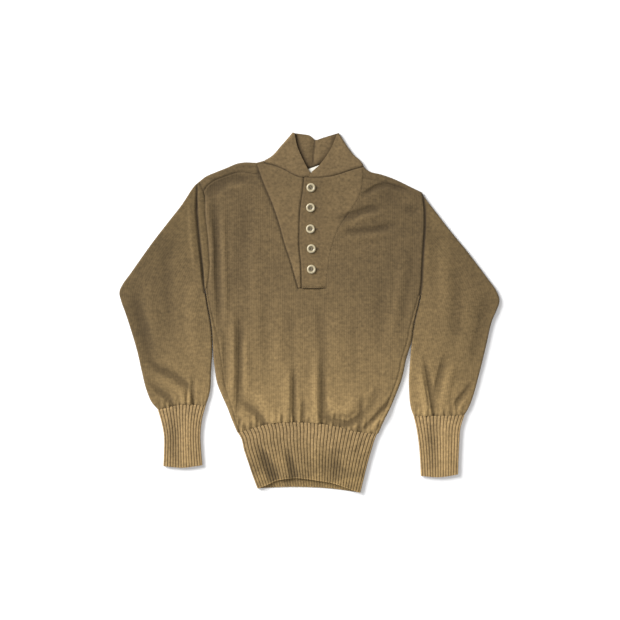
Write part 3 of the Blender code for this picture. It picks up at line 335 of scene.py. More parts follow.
def nearest(points, line):
    """How far each point is from a line, on which hand (left is positive), and how far along it."""
    line = np.array(line, float)
    lengths = np.linalg.norm(np.diff(line, axis=0), axis=1)
    before = np.concatenate([[0], np.cumsum(lengths)])
    distance = np.full(points.shape[:-1], np.inf)
    hand, place = np.zeros(points.shape[:-1]), np.zeros(points.shape[:-1])
    for number, (start, end) in enumerate(zip(line[:-1], line[1:])):
        run = end - start
        t = held(((points - start) @ run) / (run @ run))
        off = points - start - t[..., None] * run
        length = np.linalg.norm(off, axis=-1)
        closer = length < distance
        hand = np.where(closer, run[0] * off[..., 1] - run[1] * off[..., 0], hand)
        place = np.where(closer, (before[number] + t * lengths[number]) / before[-1], place)
        distance = np.where(closer, length, distance)
    return distance, hand, place


def relief(points, folds):
    """How far the folds lift or sink the upper layer at each point. They fade out at both ends."""
    total = np.zeros(points.shape[:-1])
    for left_hand, right_hand, height, line in folds:
        distance, hand, place = nearest(points, line)
        width = np.where(hand > 0, left_hand, right_hand)
        fade = held(np.minimum(place, 1 - place) / 0.35)
        fade = fade**2 * (3 - 2 * fade)
        total += height * fade * bell(distance, width)
    return FOLD_STRENGTH * total


LOWEST, HIGHEST = -3, 4


def limited(lift, low=LOWEST, high=HIGHEST):
    """Lifts held between two limits, which they near softly, so that no fold has a flat floor."""
    return np.where(lift < 0, low * np.tanh(lift / low), high * np.tanh(lift / high))


# %% [markdown]
# ## Gathers and seams
#
# The body is wider than its ribbed band, so it puckers where it is sewn to it, and so do the sleeves
# at the cuffs. The puckers are many and uneven: a seeded random choice gives each its place, length
# and height, the same on every run. A seam is a narrow groove, because the stitches pull the cloth
# down, and shade is painted along it: the painted `shade` of each point is kept for the materials.

# %% Gathers and seam grooves
SEAM_WIDTH, SEAM_SHADE = 3.2, 1.7
HOLLOW_SHADE, RIDGE_PAINTED_LIGHT, FULL_FOLD = 0.55, 0.6, 3


def gathers(seam, count, reach, height, seed):
    """Short puckers that start at a seam and run away from it."""
    chance = random.Random(seed)
    found = []
    for number in range(count):
        share = (number + 0.5 + chance.uniform(-0.35, 0.35)) / count
        start = along(seam, share)
        length = reach * chance.uniform(0.35, 1) ** 1.5
        run = length * np.array([chance.uniform(-0.12, 0.12), 1])
        tall = height * chance.uniform(0.35, 1) * (1 if number % 2 else -1)
        hands = chance.uniform(3, 6), chance.uniform(3, 6)
        found.append((*hands, tall, [tuple(start - 0.7 * run), tuple(start + run)]))
    return found


def seam_dip(points, seams):
    """The groove of the seams, and their painted shade, from 0 to 1. A seam is (depth, darkness, line)."""
    dip, dark = np.zeros(points.shape[:-1]), np.zeros(points.shape[:-1])
    for depth, darkness, line in seams:
        distance = nearest(points, line)[0]
        dip = np.minimum(dip, -depth * bell(distance, SEAM_WIDTH))
        dark = np.maximum(dark, darkness * glow(distance, SEAM_SHADE))
    return dip, dark


def rib_height(phase):
    """A rib is broad on top, with a narrow valley at each whole phase."""
    return 1 - np.abs(2 * (phase % 1) - 1) ** 2.6


def teeth(points, seam, ribs, fold=4):
    """The shade that a rib's valleys throw into the cloth sewn to it."""
    distance, _, place = nearest(points, seam)
    length = np.linalg.norm(np.diff(seam, axis=0), axis=1).sum()
    phase = ribs * (place * length - fold) / (length - 2 * fold)
    return 0.8 * (1 - rib_height(phase)) ** 1.3 * glow(distance, 4.5)


def smooth_line(line, count=60):
    return along(line, np.linspace(0, 1, count))


FRONT_GATHERS = gathers(BAND_FRONT_SEAM, 44, 46, 1.6, 5)
ALL_FOLDS = BODY_FOLDS + FRONT_GATHERS
print("gathers above the band:", len(FRONT_GATHERS))


# %% [markdown]
# ## Shader maths
#
# A material is a small web of nodes. `Finish` adds a node from its type, its settings and the values
# or links of its sockets, and `Wire` wraps one output, so that sums are written as plain Python and
# add their own Math nodes.

# %% Wires and finishes
class Wire:
    """One output of a node. Sums written with it add Math nodes."""

    def __init__(self, finish, socket):
        self.finish = finish
        self.socket = socket

    def sum(self, operation, first, second=0):
        return self.finish.node("ShaderNodeMath", {"operation": operation}, {0: first, 1: second})

    def __add__(self, other):
        return self.sum("ADD", self, other)

    def __sub__(self, other):
        return self.sum("SUBTRACT", self, other)

    def __rsub__(self, other):
        return self.sum("SUBTRACT", other, self)

    def __mul__(self, other):
        return self.sum("MULTIPLY", self, other)

    def __truediv__(self, other):
        return self.sum("DIVIDE", self, other)

    def __pow__(self, other):
        return self.sum("POWER", self, other)

    __radd__ = __add__
    __rmul__ = __mul__

    def of(self, operation, other=0):
        return self.sum(operation, self, other)

    def out(self, output):
        """Another output of the same node."""
        return Wire(self.finish, self.socket.node.outputs[output])


class Finish:
    """A material in the making."""

    def __init__(self, name):
        self.material = bpy.data.materials.new(name)
        self.material.use_nodes = True
        self.tree = self.material.node_tree
        self.shader = self.tree.nodes["Principled BSDF"]

    def node(self, kind, settings=None, values=None, output=0):
        """Adds a node: its settings first, then the values or links of its sockets."""
        made = self.tree.nodes.new(kind)
        for setting, value in (settings or {}).items():
            if setting == "stops":
                ramp = made.color_ramp
                ramp.elements[0].position, ramp.elements[1].position = value[0][0], value[-1][0]
                ramp.elements[0].color, ramp.elements[1].color = value[0][1], value[-1][1]
                for place, colour in value[1:-1]:
                    ramp.elements.new(place).color = colour
            else:
                setattr(made, setting, value)
        for socket, value in (values or {}).items():
            self.feed(made.inputs[socket], value)
        return Wire(self, made.outputs[output])

    def feed(self, socket, value):
        if isinstance(value, Wire):
            self.tree.links.new(value.socket, socket)
        else:
            socket.default_value = value

    def mix(self, factor, first, second):
        """Two colours mixed."""
        return self.node("ShaderNodeMix", {"data_type": "RGBA"}, {0: factor, 6: first, 7: second}, 2)

    def noise(self, place, scale, detail=3, **more):
        values = {"Vector": place, "Scale": scale, "Detail": detail, **more}
        return self.node("ShaderNodeTexNoise", None, values)

    def bump(self, strength, distance, height):
        values = {"Strength": strength, "Distance": distance, "Height": height}
        return self.node("ShaderNodeBump", None, values)

    def set(self, **values):
        """Feeds the shader: a socket's name with its spaces left out."""
        sockets = {socket.name.replace(" ", ""): socket for socket in self.shader.inputs}
        for name, value in values.items():
            self.feed(sockets[name], value)


# %% [markdown]
# ## The knit
#
# Knitted wool is rows of small V-shaped stitches that stand in upright columns, the wales. The piece's
# own UV map is in metres along the cloth, so the stitches keep their true size and follow the cloth
# round its folds. On top come flecks of lighter and darker fibre, soft washed patches and a paler tone
# towards the hem. Light and shade are painted on as well: darker stitch valleys, painted shade at each
# seam, fold hollow and rib valley, painted light on ridges, and painted shade and light on the sides.
# An image could carry all that, but nodes stay sharp at any size.

# %% A knit finish
TOP_Y, LOW_Y = 0.38, -0.38
FLECK_SCALE, MOTTLE_SCALE, WASH_SCALE = 620, 190, 17
ROW_SHADE = 0.05
PAINTED_SHADE_BROWN = (0.020, 0.012, 0.005, 1)


def knit(name, tones, wale, course, depth, fleck=0.1, outer=0, reach=(0.2, 0.3), tilt=0):
    """A knit: tones are (y, colour) stops from the hem up, wale and course its stitch size in metres.

    Outer is painted shade that darkens it over a reach of distances from the middle, and tilt is
    painted light that pales its right side, darkening it when below 0.
    """
    finish = Finish(name)
    surface = finish.node("ShaderNodeUVMap", {"uv_map": "UVMap"})
    split = finish.node("ShaderNodeSeparateXYZ", None, {0: surface})
    across, up = split, split.out(1)
    place = finish.node("ShaderNodeTexCoord", None, None, "Object")
    height = finish.node("ShaderNodeSeparateXYZ", None, {0: place}, 1)
    side = height.out(0).of("ABSOLUTE")
    smooth = {"interpolation_type": "SMOOTHSTEP"}
    far = finish.node("ShaderNodeMapRange", smooth, {0: side, 1: reach[0], 2: reach[1]})

    column = (across / wale).of("FRACT")
    arm = (column * 2 - 1).of("ABSOLUTE")
    rounded = 1 - arm ** 2
    stitch = ((up / course + arm * 0.55) * (2 * math.pi)).of("SINE") * 0.5 + 0.5
    relief_height = rounded * 0.6 + stitch * rounded * 0.4

    flecks = finish.noise(place, FLECK_SCALE)
    washed = finish.noise(place, WASH_SCALE, 4, Roughness=0.6)
    streaked = finish.node("ShaderNodeMapping", None, {"Vector": place, "Scale": (160, 14, 40)})
    streaks = finish.noise(streaked, 1)
    banded = finish.node("ShaderNodeMapping", None, {"Vector": place, "Scale": (42, 260, 40)})
    bands = finish.noise(banded, 1)
    stops = [((y - LOW_Y) / (TOP_Y - LOW_Y), (*colour, 1)) for y, colour in tones]
    level = (height - LOW_Y) / (TOP_Y - LOW_Y) + (washed - 0.5) * 0.126
    tone = finish.node("ShaderNodeValToRGB", {"stops": stops}, {0: level})

    mottled = finish.noise(place, MOTTLE_SCALE)
    light = 1 + (flecks - 0.5) * (4 * fleck) + (washed - 0.5) * 0.4
    light = light + (streaks - 0.5) * 0.14 + (bands - 0.5) * 0.42
    # Painted shade: the stitch valleys are darker by ROW_SHADE, outer paints shade on the far sides, and tilt
    # paints light on one side.
    light = light * (1 + (mottled - 0.5) * 1.1) * (1 - 0.6 * ROW_SHADE + relief_height * ROW_SHADE)
    light = light * (1 - far * outer) * (1 + height.out(0) * tilt)
    colour = finish.node("ShaderNodeVectorMath", {"operation": "SCALE"}, {0: tone, "Scale": light})
    # Painted shade and light: where the shade attribute is above 0 the cloth is mixed towards a dark brown,
    # and where it is below 0 it is painted paler.
    shade = finish.node("ShaderNodeAttribute", {"attribute_name": "shade"}, None, "Fac")
    painted_light = 1 + (shade * -1).of("MAXIMUM", 0) * 0.4
    colour = finish.node("ShaderNodeVectorMath", {"operation": "SCALE"}, {0: colour, "Scale": painted_light})
    colour = finish.mix(shade.of("MAXIMUM", 0) * 0.92, colour, PAINTED_SHADE_BROWN)
    bump = finish.bump(0.9, depth, relief_height + flecks * 0.35)
    finish.set(BaseColor=colour, Roughness=0.86 + flecks * 0.12, Normal=bump)
    finish.set(SheenWeight=0.12, SheenRoughness=0.55, SpecularIORLevel=0.25)
    finish.set(SheenTint=(0.9, 0.8, 0.62, 1))
    return finish.material


def tones(*pairs):
    """Stops of one brown, paler or darker: (y in metres, red), with its blue's share of it."""
    return [(y, (red, red * 0.67, red * blue * 0.94)) for y, red, blue in pairs]


BODY_KNIT = knit(
    "body_knit",
    tones(
        (-0.24, 0.240, 0.30), (-0.18, 0.218, 0.30), (-0.11, 0.186, 0.305), (-0.03, 0.148, 0.31),
        (0.06, 0.121, 0.315), (0.28, 0.107, 0.315),
    ),
    wale=0.0044, course=0.0028, depth=0.00026, outer=0.09, reach=(0.06, 0.18), tilt=-0.06,
)
SLEEVE_KNIT = knit(
    "sleeve_knit",
    tones(
        (-0.20, 0.250, 0.30), (-0.12, 0.193, 0.30), (-0.04, 0.160, 0.305), (0.06, 0.142, 0.305),
        (0.13, 0.126, 0.30), (0.26, 0.113, 0.295),
    ),
    wale=0.0044, course=0.0028, depth=0.00022, outer=0.24, reach=(0.22, 0.33), tilt=0.32,
)
INSET_KNIT = knit(
    "inset_knit", tones((0.04, 0.158, 0.32), (0.20, 0.133, 0.32), (0.30, 0.122, 0.32)),
    wale=0.0020, course=0.0016, depth=0.00018, fleck=0.07,
)
COLLAR_KNIT = knit(
    "collar_knit", tones((0.26, 0.138, 0.325), (0.36, 0.143, 0.325)),
    wale=0.0020, course=0.0016, depth=0.00018, fleck=0.07,
)
BAND_KNIT = knit(
    "band_rib", tones(
        (-0.36, 0.275, 0.295), (-0.338, 0.280, 0.295), (-0.325, 0.210, 0.30), (-0.31, 0.204, 0.30),
        (-0.292, 0.248, 0.305), (-0.275, 0.262, 0.31), (-0.24, 0.288, 0.32),
    ),
    wale=0.0036, course=0.0030, depth=0.0005,
)
CUFF_KNIT = knit(
    "cuff_rib", tones((-0.34, 0.325, 0.31), (-0.20, 0.325, 0.32)),
    wale=0.0036, course=0.0030, depth=0.0005, tilt=0.2,
)
print("knit materials:", [m.name for m in bpy.data.materials if "knit" in m.name or "rib" in m.name])


# %% [markdown]
# ## From a grid to a panel
#
# Every panel starts as a flat bmesh grid. Its vertices are then moved to their places on the
# garment, as cloth is laid on a form, and a tube's two long edges are joined. A Solidify modifier
# gives the cloth its thickness inwards. The grid keeps even quads and a clean UV map, which an
# outline filled with triangles wouldn't.

# %% Panels
SHARP_RIM, SHARP_EDGE = 62, 40


def add_piece(name, shape, material, sharp=SHARP_EDGE):
    """An object made from a bmesh. Edges are sharp above an angle, or nowhere."""
    mesh = bpy.data.meshes.new(name)
    shape.to_mesh(mesh)
    shape.free()
    mesh.shade_smooth()
    if sharp:
        mesh.set_sharp_from_angle(angle=math.radians(sharp))
    mesh.materials.append(material)
    piece = bpy.data.objects.new(name, mesh)
    bpy.context.scene.collection.objects.link(piece)
    return piece


def row_lengths(points):
    """How far each point is from the first row, along its column."""
    steps = np.linalg.norm(np.diff(points, axis=0), axis=2)
    return np.concatenate([np.zeros((1, points.shape[1])), np.cumsum(steps, axis=0)], axis=0)


def cloth_lengths(points, middle):
    """Lengths along the cloth in metres, from its middle column and its first row: its UV map."""
    across = row_lengths(points.swapaxes(0, 1)).T
    return np.stack([across - across[:, [middle]], row_lengths(points)], axis=-1) * MM


def panel(
    name, points, uv, shade, material, thickness=SHELL, kept=None, closed=False, probe=(0, 1),
    offset=-1, bevel=0,
):
    """A grid moved to its points. The probe is a column whose faces must turn up (1) or down (-1)."""
    rows, columns = points.shape[:2]
    shape = bmesh.new()
    bmesh.ops.create_grid(shape, x_segments=columns - 1, y_segments=rows - 1, size=0.5)
    uv_layer = shape.loops.layers.uv.new("UVMap")
    shade_layer = shape.verts.layers.float.new("shade")
    shape.verts.ensure_lookup_table()
    shape.faces.ensure_lookup_table()
    places, uvs, shades = points.reshape(-1, 3) * MM, uv.reshape(-1, 2), shade.reshape(-1)
    for vert in shape.verts:
        vert.co = places[vert.index]
        vert[shade_layer] = shades[vert.index]
    for face in shape.faces:
        for loop in face.loops:
            loop[uv_layer].uv = uvs[loop.vert.index]
    tested = shape.faces[(rows // 2) * (columns - 1) + probe[0]]
    tested.normal_update()
    if tested.normal.z * probe[1] < 0:
        bmesh.ops.reverse_faces(shape, faces=shape.faces)
    if kept is not None:
        spare = [face for face, keep in zip(shape.faces, kept.reshape(-1)) if not keep]
        bmesh.ops.delete(shape, geom=spare, context="FACES")
    if closed:
        bmesh.ops.remove_doubles(shape, verts=shape.verts, dist=1e-6)
    piece = add_piece(name, shape, material, None)
    wall = piece.modifiers.new("Cloth", "SOLIDIFY")
    wall.thickness = thickness * MM
    wall.offset = offset
    if bevel:
        rounded = piece.modifiers.new("Round edges", "BEVEL")
        rounded.width = bevel * MM
        rounded.segments = 2
        rounded.limit_method = "ANGLE"
        rounded.angle_limit = math.radians(60)
    graph = bpy.context.evaluated_depsgraph_get()
    shell = bpy.data.meshes.new_from_object(piece.evaluated_get(graph))
    shell.set_sharp_from_angle(angle=math.radians(SHARP_RIM))
    piece.modifiers.clear()
    piece.data = shell
    return piece


def dress(piece, nodes, flat, area=None):
    """Hangs a cloth piece on the root, hides the frame's parts that it stands for, and prints its measured
    area with the given cut size and area.
    """
    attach(piece, "root")
    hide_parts(*nodes)
    cloth = sum(polygon.area for polygon in piece.data.polygons) / 2
    print(f"{piece.name}: {len(piece.data.polygons)} faces, {cloth:.4f} m2 of cloth, cut {flat}, area {area}")


# %% [markdown]
# ## The front
#
# One panel, from the waist seam to the shoulders, with a deep notch for the neck inset. A patch fills
# the part below the notch, and one more fills each side of it. The faces in the notch are then
# deleted. Folds, gathers and seam grooves move its points up and down.

# %% The front panel
def side_seam(table, side, inset, at):
    """Points up one side of the body: inset 0 is the edge, 1 the seam that shows on the front."""
    heights = table[0][0] + at * (table[-1][0] - table[0][0])
    edge, reach = read(table, heights).T
    return np.column_stack([edge + side * reach * inset, heights])


def armhole(table, side, low, high, at):
    heights = low + at * (high - low)
    return np.column_stack([read(table, heights)[:, 0] + side * HALF_GAP, heights])


def inset_seam(line, low, high, at):
    heights = low + at * (high - low)
    return np.column_stack([read([(y, x) for x, y in line], heights)[:, 0], heights])


def shoulders(left_at, right_at):
    """The two shoulder seams, each ending on the inset's seam."""
    left, right = along(LEFT_SHOULDER, left_at), along(RIGHT_SHOULDER, right_at)
    left[-1, 0] = inset_seam(LEFT_INSET_SEAM, left[-1, 1], left[-1, 1], np.zeros(1))[0, 0] - HALF_GAP
    right[0, 0] = inset_seam(RIGHT_INSET_SEAM, right[0, 1], right[0, 1], np.zeros(1))[0, 0] + HALF_GAP
    return left, right


def waist(points):
    return read(BAND_FRONT_SEAM, points)[..., 0]


LOWER = crowded(104)
UPPER = crowded(92)
LEFT_ACROSS, MIDDLE_ACROSS, RIGHT_ACROSS = crowded(76, 0.5), crowded(24, 0.4), crowded(70, 0.5)
# Seams are (depth, darkness, line): the darkness is painted shade along each groove.
TOP_SEAMS = [(1.2, 0.3, smooth_line(LEFT_SHOULDER)), (1, 0.12, smooth_line(RIGHT_SHOULDER))]
INSET_SEAMS = [
    (1.3, 0.72, smooth_line(LEFT_INSET_SEAM)), (0.4, 0.24, smooth_line(RIGHT_INSET_SEAM)),
    (1.3, 0.65, [(-23, INSET_FOOT), (32.6, INSET_FOOT)]),
]
ARM_SEAMS = [
    (1.2, 0.4, smooth_line([(x, y) for y, x in LEFT_ARMHOLE])),
    (1.8, 1, smooth_line([(x, y) for y, x in RIGHT_ARMHOLE])),
    # painted shade only, with no groove, beside the right armhole's seam
    (0, 1, smooth_line([(x + 1.6, y) for y, x in RIGHT_ARMHOLE])),
]
SIDE_SEAMS = [
    (1, 0.14, side_seam(LEFT_SIDE, 1, 1, np.linspace(0, 1, 50))),
    (1, 0.14, side_seam(RIGHT_SIDE, -1, 1, np.linspace(0, 1, 50))),
]
WAIST_SEAM = [(0.5, 0, smooth_line(BAND_FRONT_SEAM, 80))]
# Painted shade, with no groove, where the sleeves lie against the body.
TOUCHING = [
    (0, 1, [(-212, 62), (-209.6, 44), (-205.6, 20), (-199.8, -8), (-195.4, -44), (-194, -80)]),
    (0, 1, [(222.5, 44), (219, 16), (211, -18), (205, -57)]),
]


def fold_shade(lift):
    """Painted shade in hollows, and painted light on ridges, which is less than none."""
    return held(-lift / FULL_FOLD) * HOLLOW_SHADE - held(lift / FULL_FOLD) * RIDGE_PAINTED_LIGHT


def upper_layer(points, height, seams):
    """Heights and shades of a layer that faces up, with its folds and seam grooves."""
    dip, dark = seam_dip(points, seams)
    lift = limited(relief(points, ALL_FOLDS))
    return height + np.maximum(lift + dip, LOWEST), held(dark + fold_shade(lift), -1)


def make_front():
    left_side = shifted(side_seam(LEFT_SIDE, 1, 1, LOWER), x=HALF_GAP)
    right_side = shifted(side_seam(RIGHT_SIDE, -1, 1, LOWER), x=-HALF_GAP)
    left_top, right_top = shoulders(LEFT_ACROSS, RIGHT_ACROSS)
    left_top, right_top = shifted(left_top, y=-HALF_GAP), shifted(right_top, y=-HALF_GAP)
    foot_left = np.array(LEFT_INSET_SEAM[0]) - (HALF_GAP, 0)
    foot_right = np.array(RIGHT_INSET_SEAM[0]) + (HALF_GAP, 0)
    spans = [LEFT_ACROSS, MIDDLE_ACROSS, RIGHT_ACROSS]
    low_x = chained([left_side[0], foot_left, foot_right, right_side[0]], spans)[:, 0]
    low = np.column_stack([low_x, waist(low_x) + 2 * HALF_GAP])
    left_side[0, 1], right_side[0, 1] = low[0, 1], low[-1, 1]
    armpits = chained([left_side[-1], foot_left, foot_right, right_side[-1]], spans)
    across = (low_x - low_x[0]) / (low_x[-1] - low_x[0])
    lower = patch(left_side, right_side, low, armpits, across, LOWER)
    left_arm = armhole(LEFT_ARMHOLE, 1, left_side[-1, 1], left_top[0, 1], UPPER)
    right_arm = armhole(RIGHT_ARMHOLE, -1, right_side[-1, 1], right_top[-1, 1], UPPER)
    left_arm[0], left_top[0] = left_side[-1], left_arm[-1]
    right_arm[0], right_top[-1] = right_side[-1], right_arm[-1]
    left_inset = shifted(inset_seam(LEFT_INSET_SEAM, INSET_FOOT, left_top[-1, 1], UPPER), x=-HALF_GAP)
    right_inset = shifted(inset_seam(RIGHT_INSET_SEAM, INSET_FOOT, right_top[0, 1], UPPER), x=HALF_GAP)
    left_top[-1], right_top[0] = left_inset[-1], right_inset[-1]
    notch = len(LEFT_ACROSS) - 1
    notch_end = notch + len(MIDDLE_ACROSS) - 1
    left = patch(left_arm, left_inset, armpits[: notch + 1], left_top, LEFT_ACROSS, UPPER)
    right = patch(right_inset, right_arm, armpits[notch_end:], right_top, RIGHT_ACROSS, UPPER)
    points = np.zeros((len(LOWER) + len(UPPER) - 1, len(low_x), 2))
    points[: len(LOWER)] = lower
    pits = len(LOWER) - 1
    points[pits:, : notch + 1] = left
    points[pits:, notch_end:] = right
    points[pits:, notch + 1 : notch_end] = armpits[None, notch + 1 : notch_end]
    points[pits] = armpits
    kept = np.ones((len(points) - 1, len(low_x) - 1), bool)
    kept[pits:, notch:notch_end] = False
    seams = TOP_SEAMS + INSET_SEAMS + ARM_SEAMS + SIDE_SEAMS + WAIST_SEAM
    height, shade = upper_layer(points, BODY_HEIGHT, seams)
    shade = held(shade + teeth(points, WAIST_SEAM[0][2], BAND_RIBS), -1)
    uv = points * MM
    return panel("front_panel", raised(points, height), uv, shade, BODY_KNIT, kept=kept)


front = make_front()
dress(front, ["body_front"], (0.47, 0.58), area=0.21)

# %% [markdown]
# ## The back
#
# One panel too. It lies flat on the floor, rolls up at both sides to the side seams, and comes over
# the shoulders to the seams on the front, so a strip of it shows all round. The grid gets extra rows
# and columns for those rolls, and its unused corners are deleted.

# %% The back panel
def rolled(edge, direction, radius, angle):
    """Points round a fold whose outermost line is the edge: -90 degrees is below, 90 above."""
    place = edge - np.asarray(direction) * radius * (1 - math.cos(angle))
    return raised(place, radius * (1 + math.sin(angle)))


def make_back():
    lower, upper = crowded(70), crowded(48)
    turn = np.radians(np.linspace(90, -90, 11))
    lips = np.linspace(1, 0, 6)
    sides = []
    for table, side in ((LEFT_SIDE, 1), (RIGHT_SIDE, -1)):
        seam = shifted(side_seam(table, side, 1, lower), x=-side * HALF_GAP)
        edge = side_seam(table, side, 0, lower)
        seam[0, 1] = waist(seam[0, 0]) + 2 * HALF_GAP
        top = rolled(edge, (-side, 0), BODY_ROLL, turn[0])
        columns = [raised(seam, BODY_HEIGHT) * share + top * (1 - share) for share in lips[:-1]]
        columns += [rolled(edge, (-side, 0), BODY_ROLL, angle) for angle in turn]
        sides.append(columns)
    left, right = sides[0], sides[1][::-1]
    spans = [crowded(40, 0.2), np.linspace(0, 1, 3), np.linspace(0, 1, 29), crowded(36, 0.2)]
    left_fold, side_fold = along(LEFT_FOLD, spans[0]), along(LEFT_NECK_SIDE, spans[1])
    neck = shifted(along(BACK_NECK_SEAM, spans[2]), y=-HALF_GAP)
    right_fold = along(RIGHT_FOLD, spans[3])
    folds = np.concatenate([left_fold, side_fold, neck[1:], right_fold])
    flat_count = len(folds)
    across = np.linspace(0, 1, flat_count)
    low = left[-1][0, :2] + across[:, None] * (right[0][0, :2] - left[-1][0, :2])
    armpits = left[-1][-1, :2] + across[:, None] * (right[0][-1, :2] - left[-1][-1, :2])
    bottom = patch(left[-1][:, :2], right[0][:, :2], low, armpits, across, lower)
    top = shifted(folds, y=-BODY_ROLL)
    start, end = len(left_fold) + len(side_fold) - 1, flat_count - len(right_fold)
    top[start + 1 : end] = neck[1:]
    left_arm = armhole(LEFT_ARMHOLE, 1, armpits[0, 1], top[0, 1], upper)
    right_arm = armhole(RIGHT_ARMHOLE, -1, armpits[-1, 1], top[-1, 1], upper)
    left_arm[0], right_arm[0] = armpits[0], armpits[-1]
    top[0], top[-1] = left_arm[-1], right_arm[-1]
    middle = patch(left_arm, right_arm, armpits, top, across, upper)

    side_count = len(left) - 1
    over = np.radians(np.linspace(-90, 90, 11))
    low_rows, flat_rows = len(lower), len(lower) + len(upper) - 1
    rows = flat_rows + len(over) - 1 + len(lips) - 1
    width = flat_count + 2 * side_count
    points = np.zeros((rows, width, 3))
    kept = np.zeros((rows - 1, width - 1), bool)
    for place, column in enumerate(left):
        points[:low_rows, place] = column
    for place, column in enumerate(right):
        points[:low_rows, side_count + flat_count - 1 + place] = column
    flat = slice(side_count, side_count + flat_count)
    points[:low_rows, flat, :2] = bottom
    points[low_rows - 1 : flat_rows, flat, :2] = middle
    points[:flat_rows, flat, 2] = 0
    kept[: low_rows - 1] = True
    kept[low_rows - 1 : flat_rows - 1, side_count : side_count + flat_count - 1] = True
    left_seam, right_seam = shoulders(spans[0], spans[3])
    side_lip = shifted(side_fold, y=-BODY_ROLL - NECK_LIP)
    seam = shifted(np.concatenate([left_seam, side_lip, neck[1:], right_seam]), y=HALF_GAP)
    layers = [rolled(folds, (0, 1), BODY_ROLL, angle) for angle in over[1:]]
    layers += [raised(seam, BODY_HEIGHT) * (1 - share) + layers[-1] * share for share in lips[1:]]
    for step, layer in enumerate(layers):
        row = flat_rows + step
        layer[0, 0] = read(LEFT_ARMHOLE, layer[0, 1])[0] + HALF_GAP
        layer[-1, 0] = read(RIGHT_ARMHOLE, layer[-1, 1])[0] - HALF_GAP
        points[row, flat] = layer
        kept[row - 1, side_count : side_count + start] = True
        kept[row - 1, side_count + end : side_count + flat_count - 1] = True
    # Painted shade along the seams and where the sleeves lie against the back's rolled sides, on its top
    # layer only.
    seams = TOP_SEAMS + ARM_SEAMS + SIDE_SEAMS + WAIST_SEAM + INSET_SEAMS[:2] + TOUCHING
    height, shade = upper_layer(points[..., :2], 0, seams)
    top_layer = held((points[..., 2] - BODY_ROLL) / BODY_ROLL)
    uv = cloth_lengths(points, side_count + flat_count // 2)
    uv[..., 1] = points[..., 1] * MM
    points[..., 2] += height * top_layer
    return panel("back_panel", points, uv, shade * top_layer, BODY_KNIT, kept=kept, probe=(width // 2, -1))


back = make_back()
dress(back, ["body_back"], (0.47, 0.60), area=0.24)


# %% [markdown]
# ## Tubes
#
# A sleeve, a cuff and the waistband are tubes pressed flat. Each ring has a left fold, an upper
# layer, a right fold and an underside. Ribs lift the outer points all round: `phase` counts the ribs,
# and a rib is broad on top with a narrow valley.

# %% Flattened rings
def ring_plan(top, bottom, turns, ribs=0, side_ribs=2):
    """Zone, place and rib phase of each point round a ring, which closes on its first point."""
    angles = np.radians(np.linspace(-90, 90, turns + 1))
    upper = np.linspace(0, 1, top + 1)
    lower = np.linspace(1, 0, bottom + 1)[1:]
    zone = np.repeat([0, 1, 2, 3], [turns, top + 1, turns, bottom])
    place = np.concatenate([angles[:-1], upper, angles[:-1][::-1], lower])
    left_phase = -side_ribs * (1 - np.linspace(0, 1, turns + 1)[:-1])
    right_phase = ribs + side_ribs * np.linspace(0, 1, turns + 1)[1:]
    low_phase = ribs + side_ribs + ribs * (1 - lower)
    phase = np.concatenate([left_phase, upper * ribs, right_phase, low_phase])
    return zone, place, phase


def ring(front, back, height, plan, ribs):
    """The outer points of one ring between a front line and a back line, left to right."""
    zone, place, phase = plan
    width = np.linalg.norm(np.array(front[-1]) - np.array(front[0]))
    radius = height / 2
    reach = radius + ribs
    low = 0.6 * (1 - ribs / max(ribs.max(), 1e-9)) * (ribs.max() > 0)
    flat_x = radius + place * (width - 2 * radius)
    out, turned = reach * np.cos(place), radius + reach * np.sin(place)
    x = np.choose(zone, [radius - out, flat_x, width - radius + out, flat_x])
    z = np.choose(zone, [turned, radius + reach, turned, low])
    share = held(x / width)
    mix = held(z / height)[:, None]
    flat = (1 - mix) * along(back, share) + mix * along(front, share)
    return raised(flat, np.maximum(z, 0))


def loft(rings, rows):
    """Rows of points along smooth curves through the rings."""
    rings = np.array(rings)
    gaps = np.linalg.norm(np.diff(rings, axis=0), axis=2).mean(axis=1)
    places = np.concatenate([[0], np.cumsum(gaps)]) / gaps.sum()
    table = np.column_stack([places, rings.reshape(len(rings), -1)])
    return read(table, rows).reshape(len(rows), *rings.shape[1:])


def top_share(zone, place):
    """1 on a ring's upper layer, fading to 0 at mid height of its folds."""
    fold = np.clip(np.sin(place), 0, 1)
    return np.choose(zone, [fold, np.ones_like(place), fold, np.zeros_like(place)])


# %% [markdown]
# ## The sleeves
#
# Each sleeve is a tube from the armhole seam, round the elbow, to the cuff, where it is gathered. The
# rings stand across the arm, and smooth curves through them give the outline of the bent elbow.

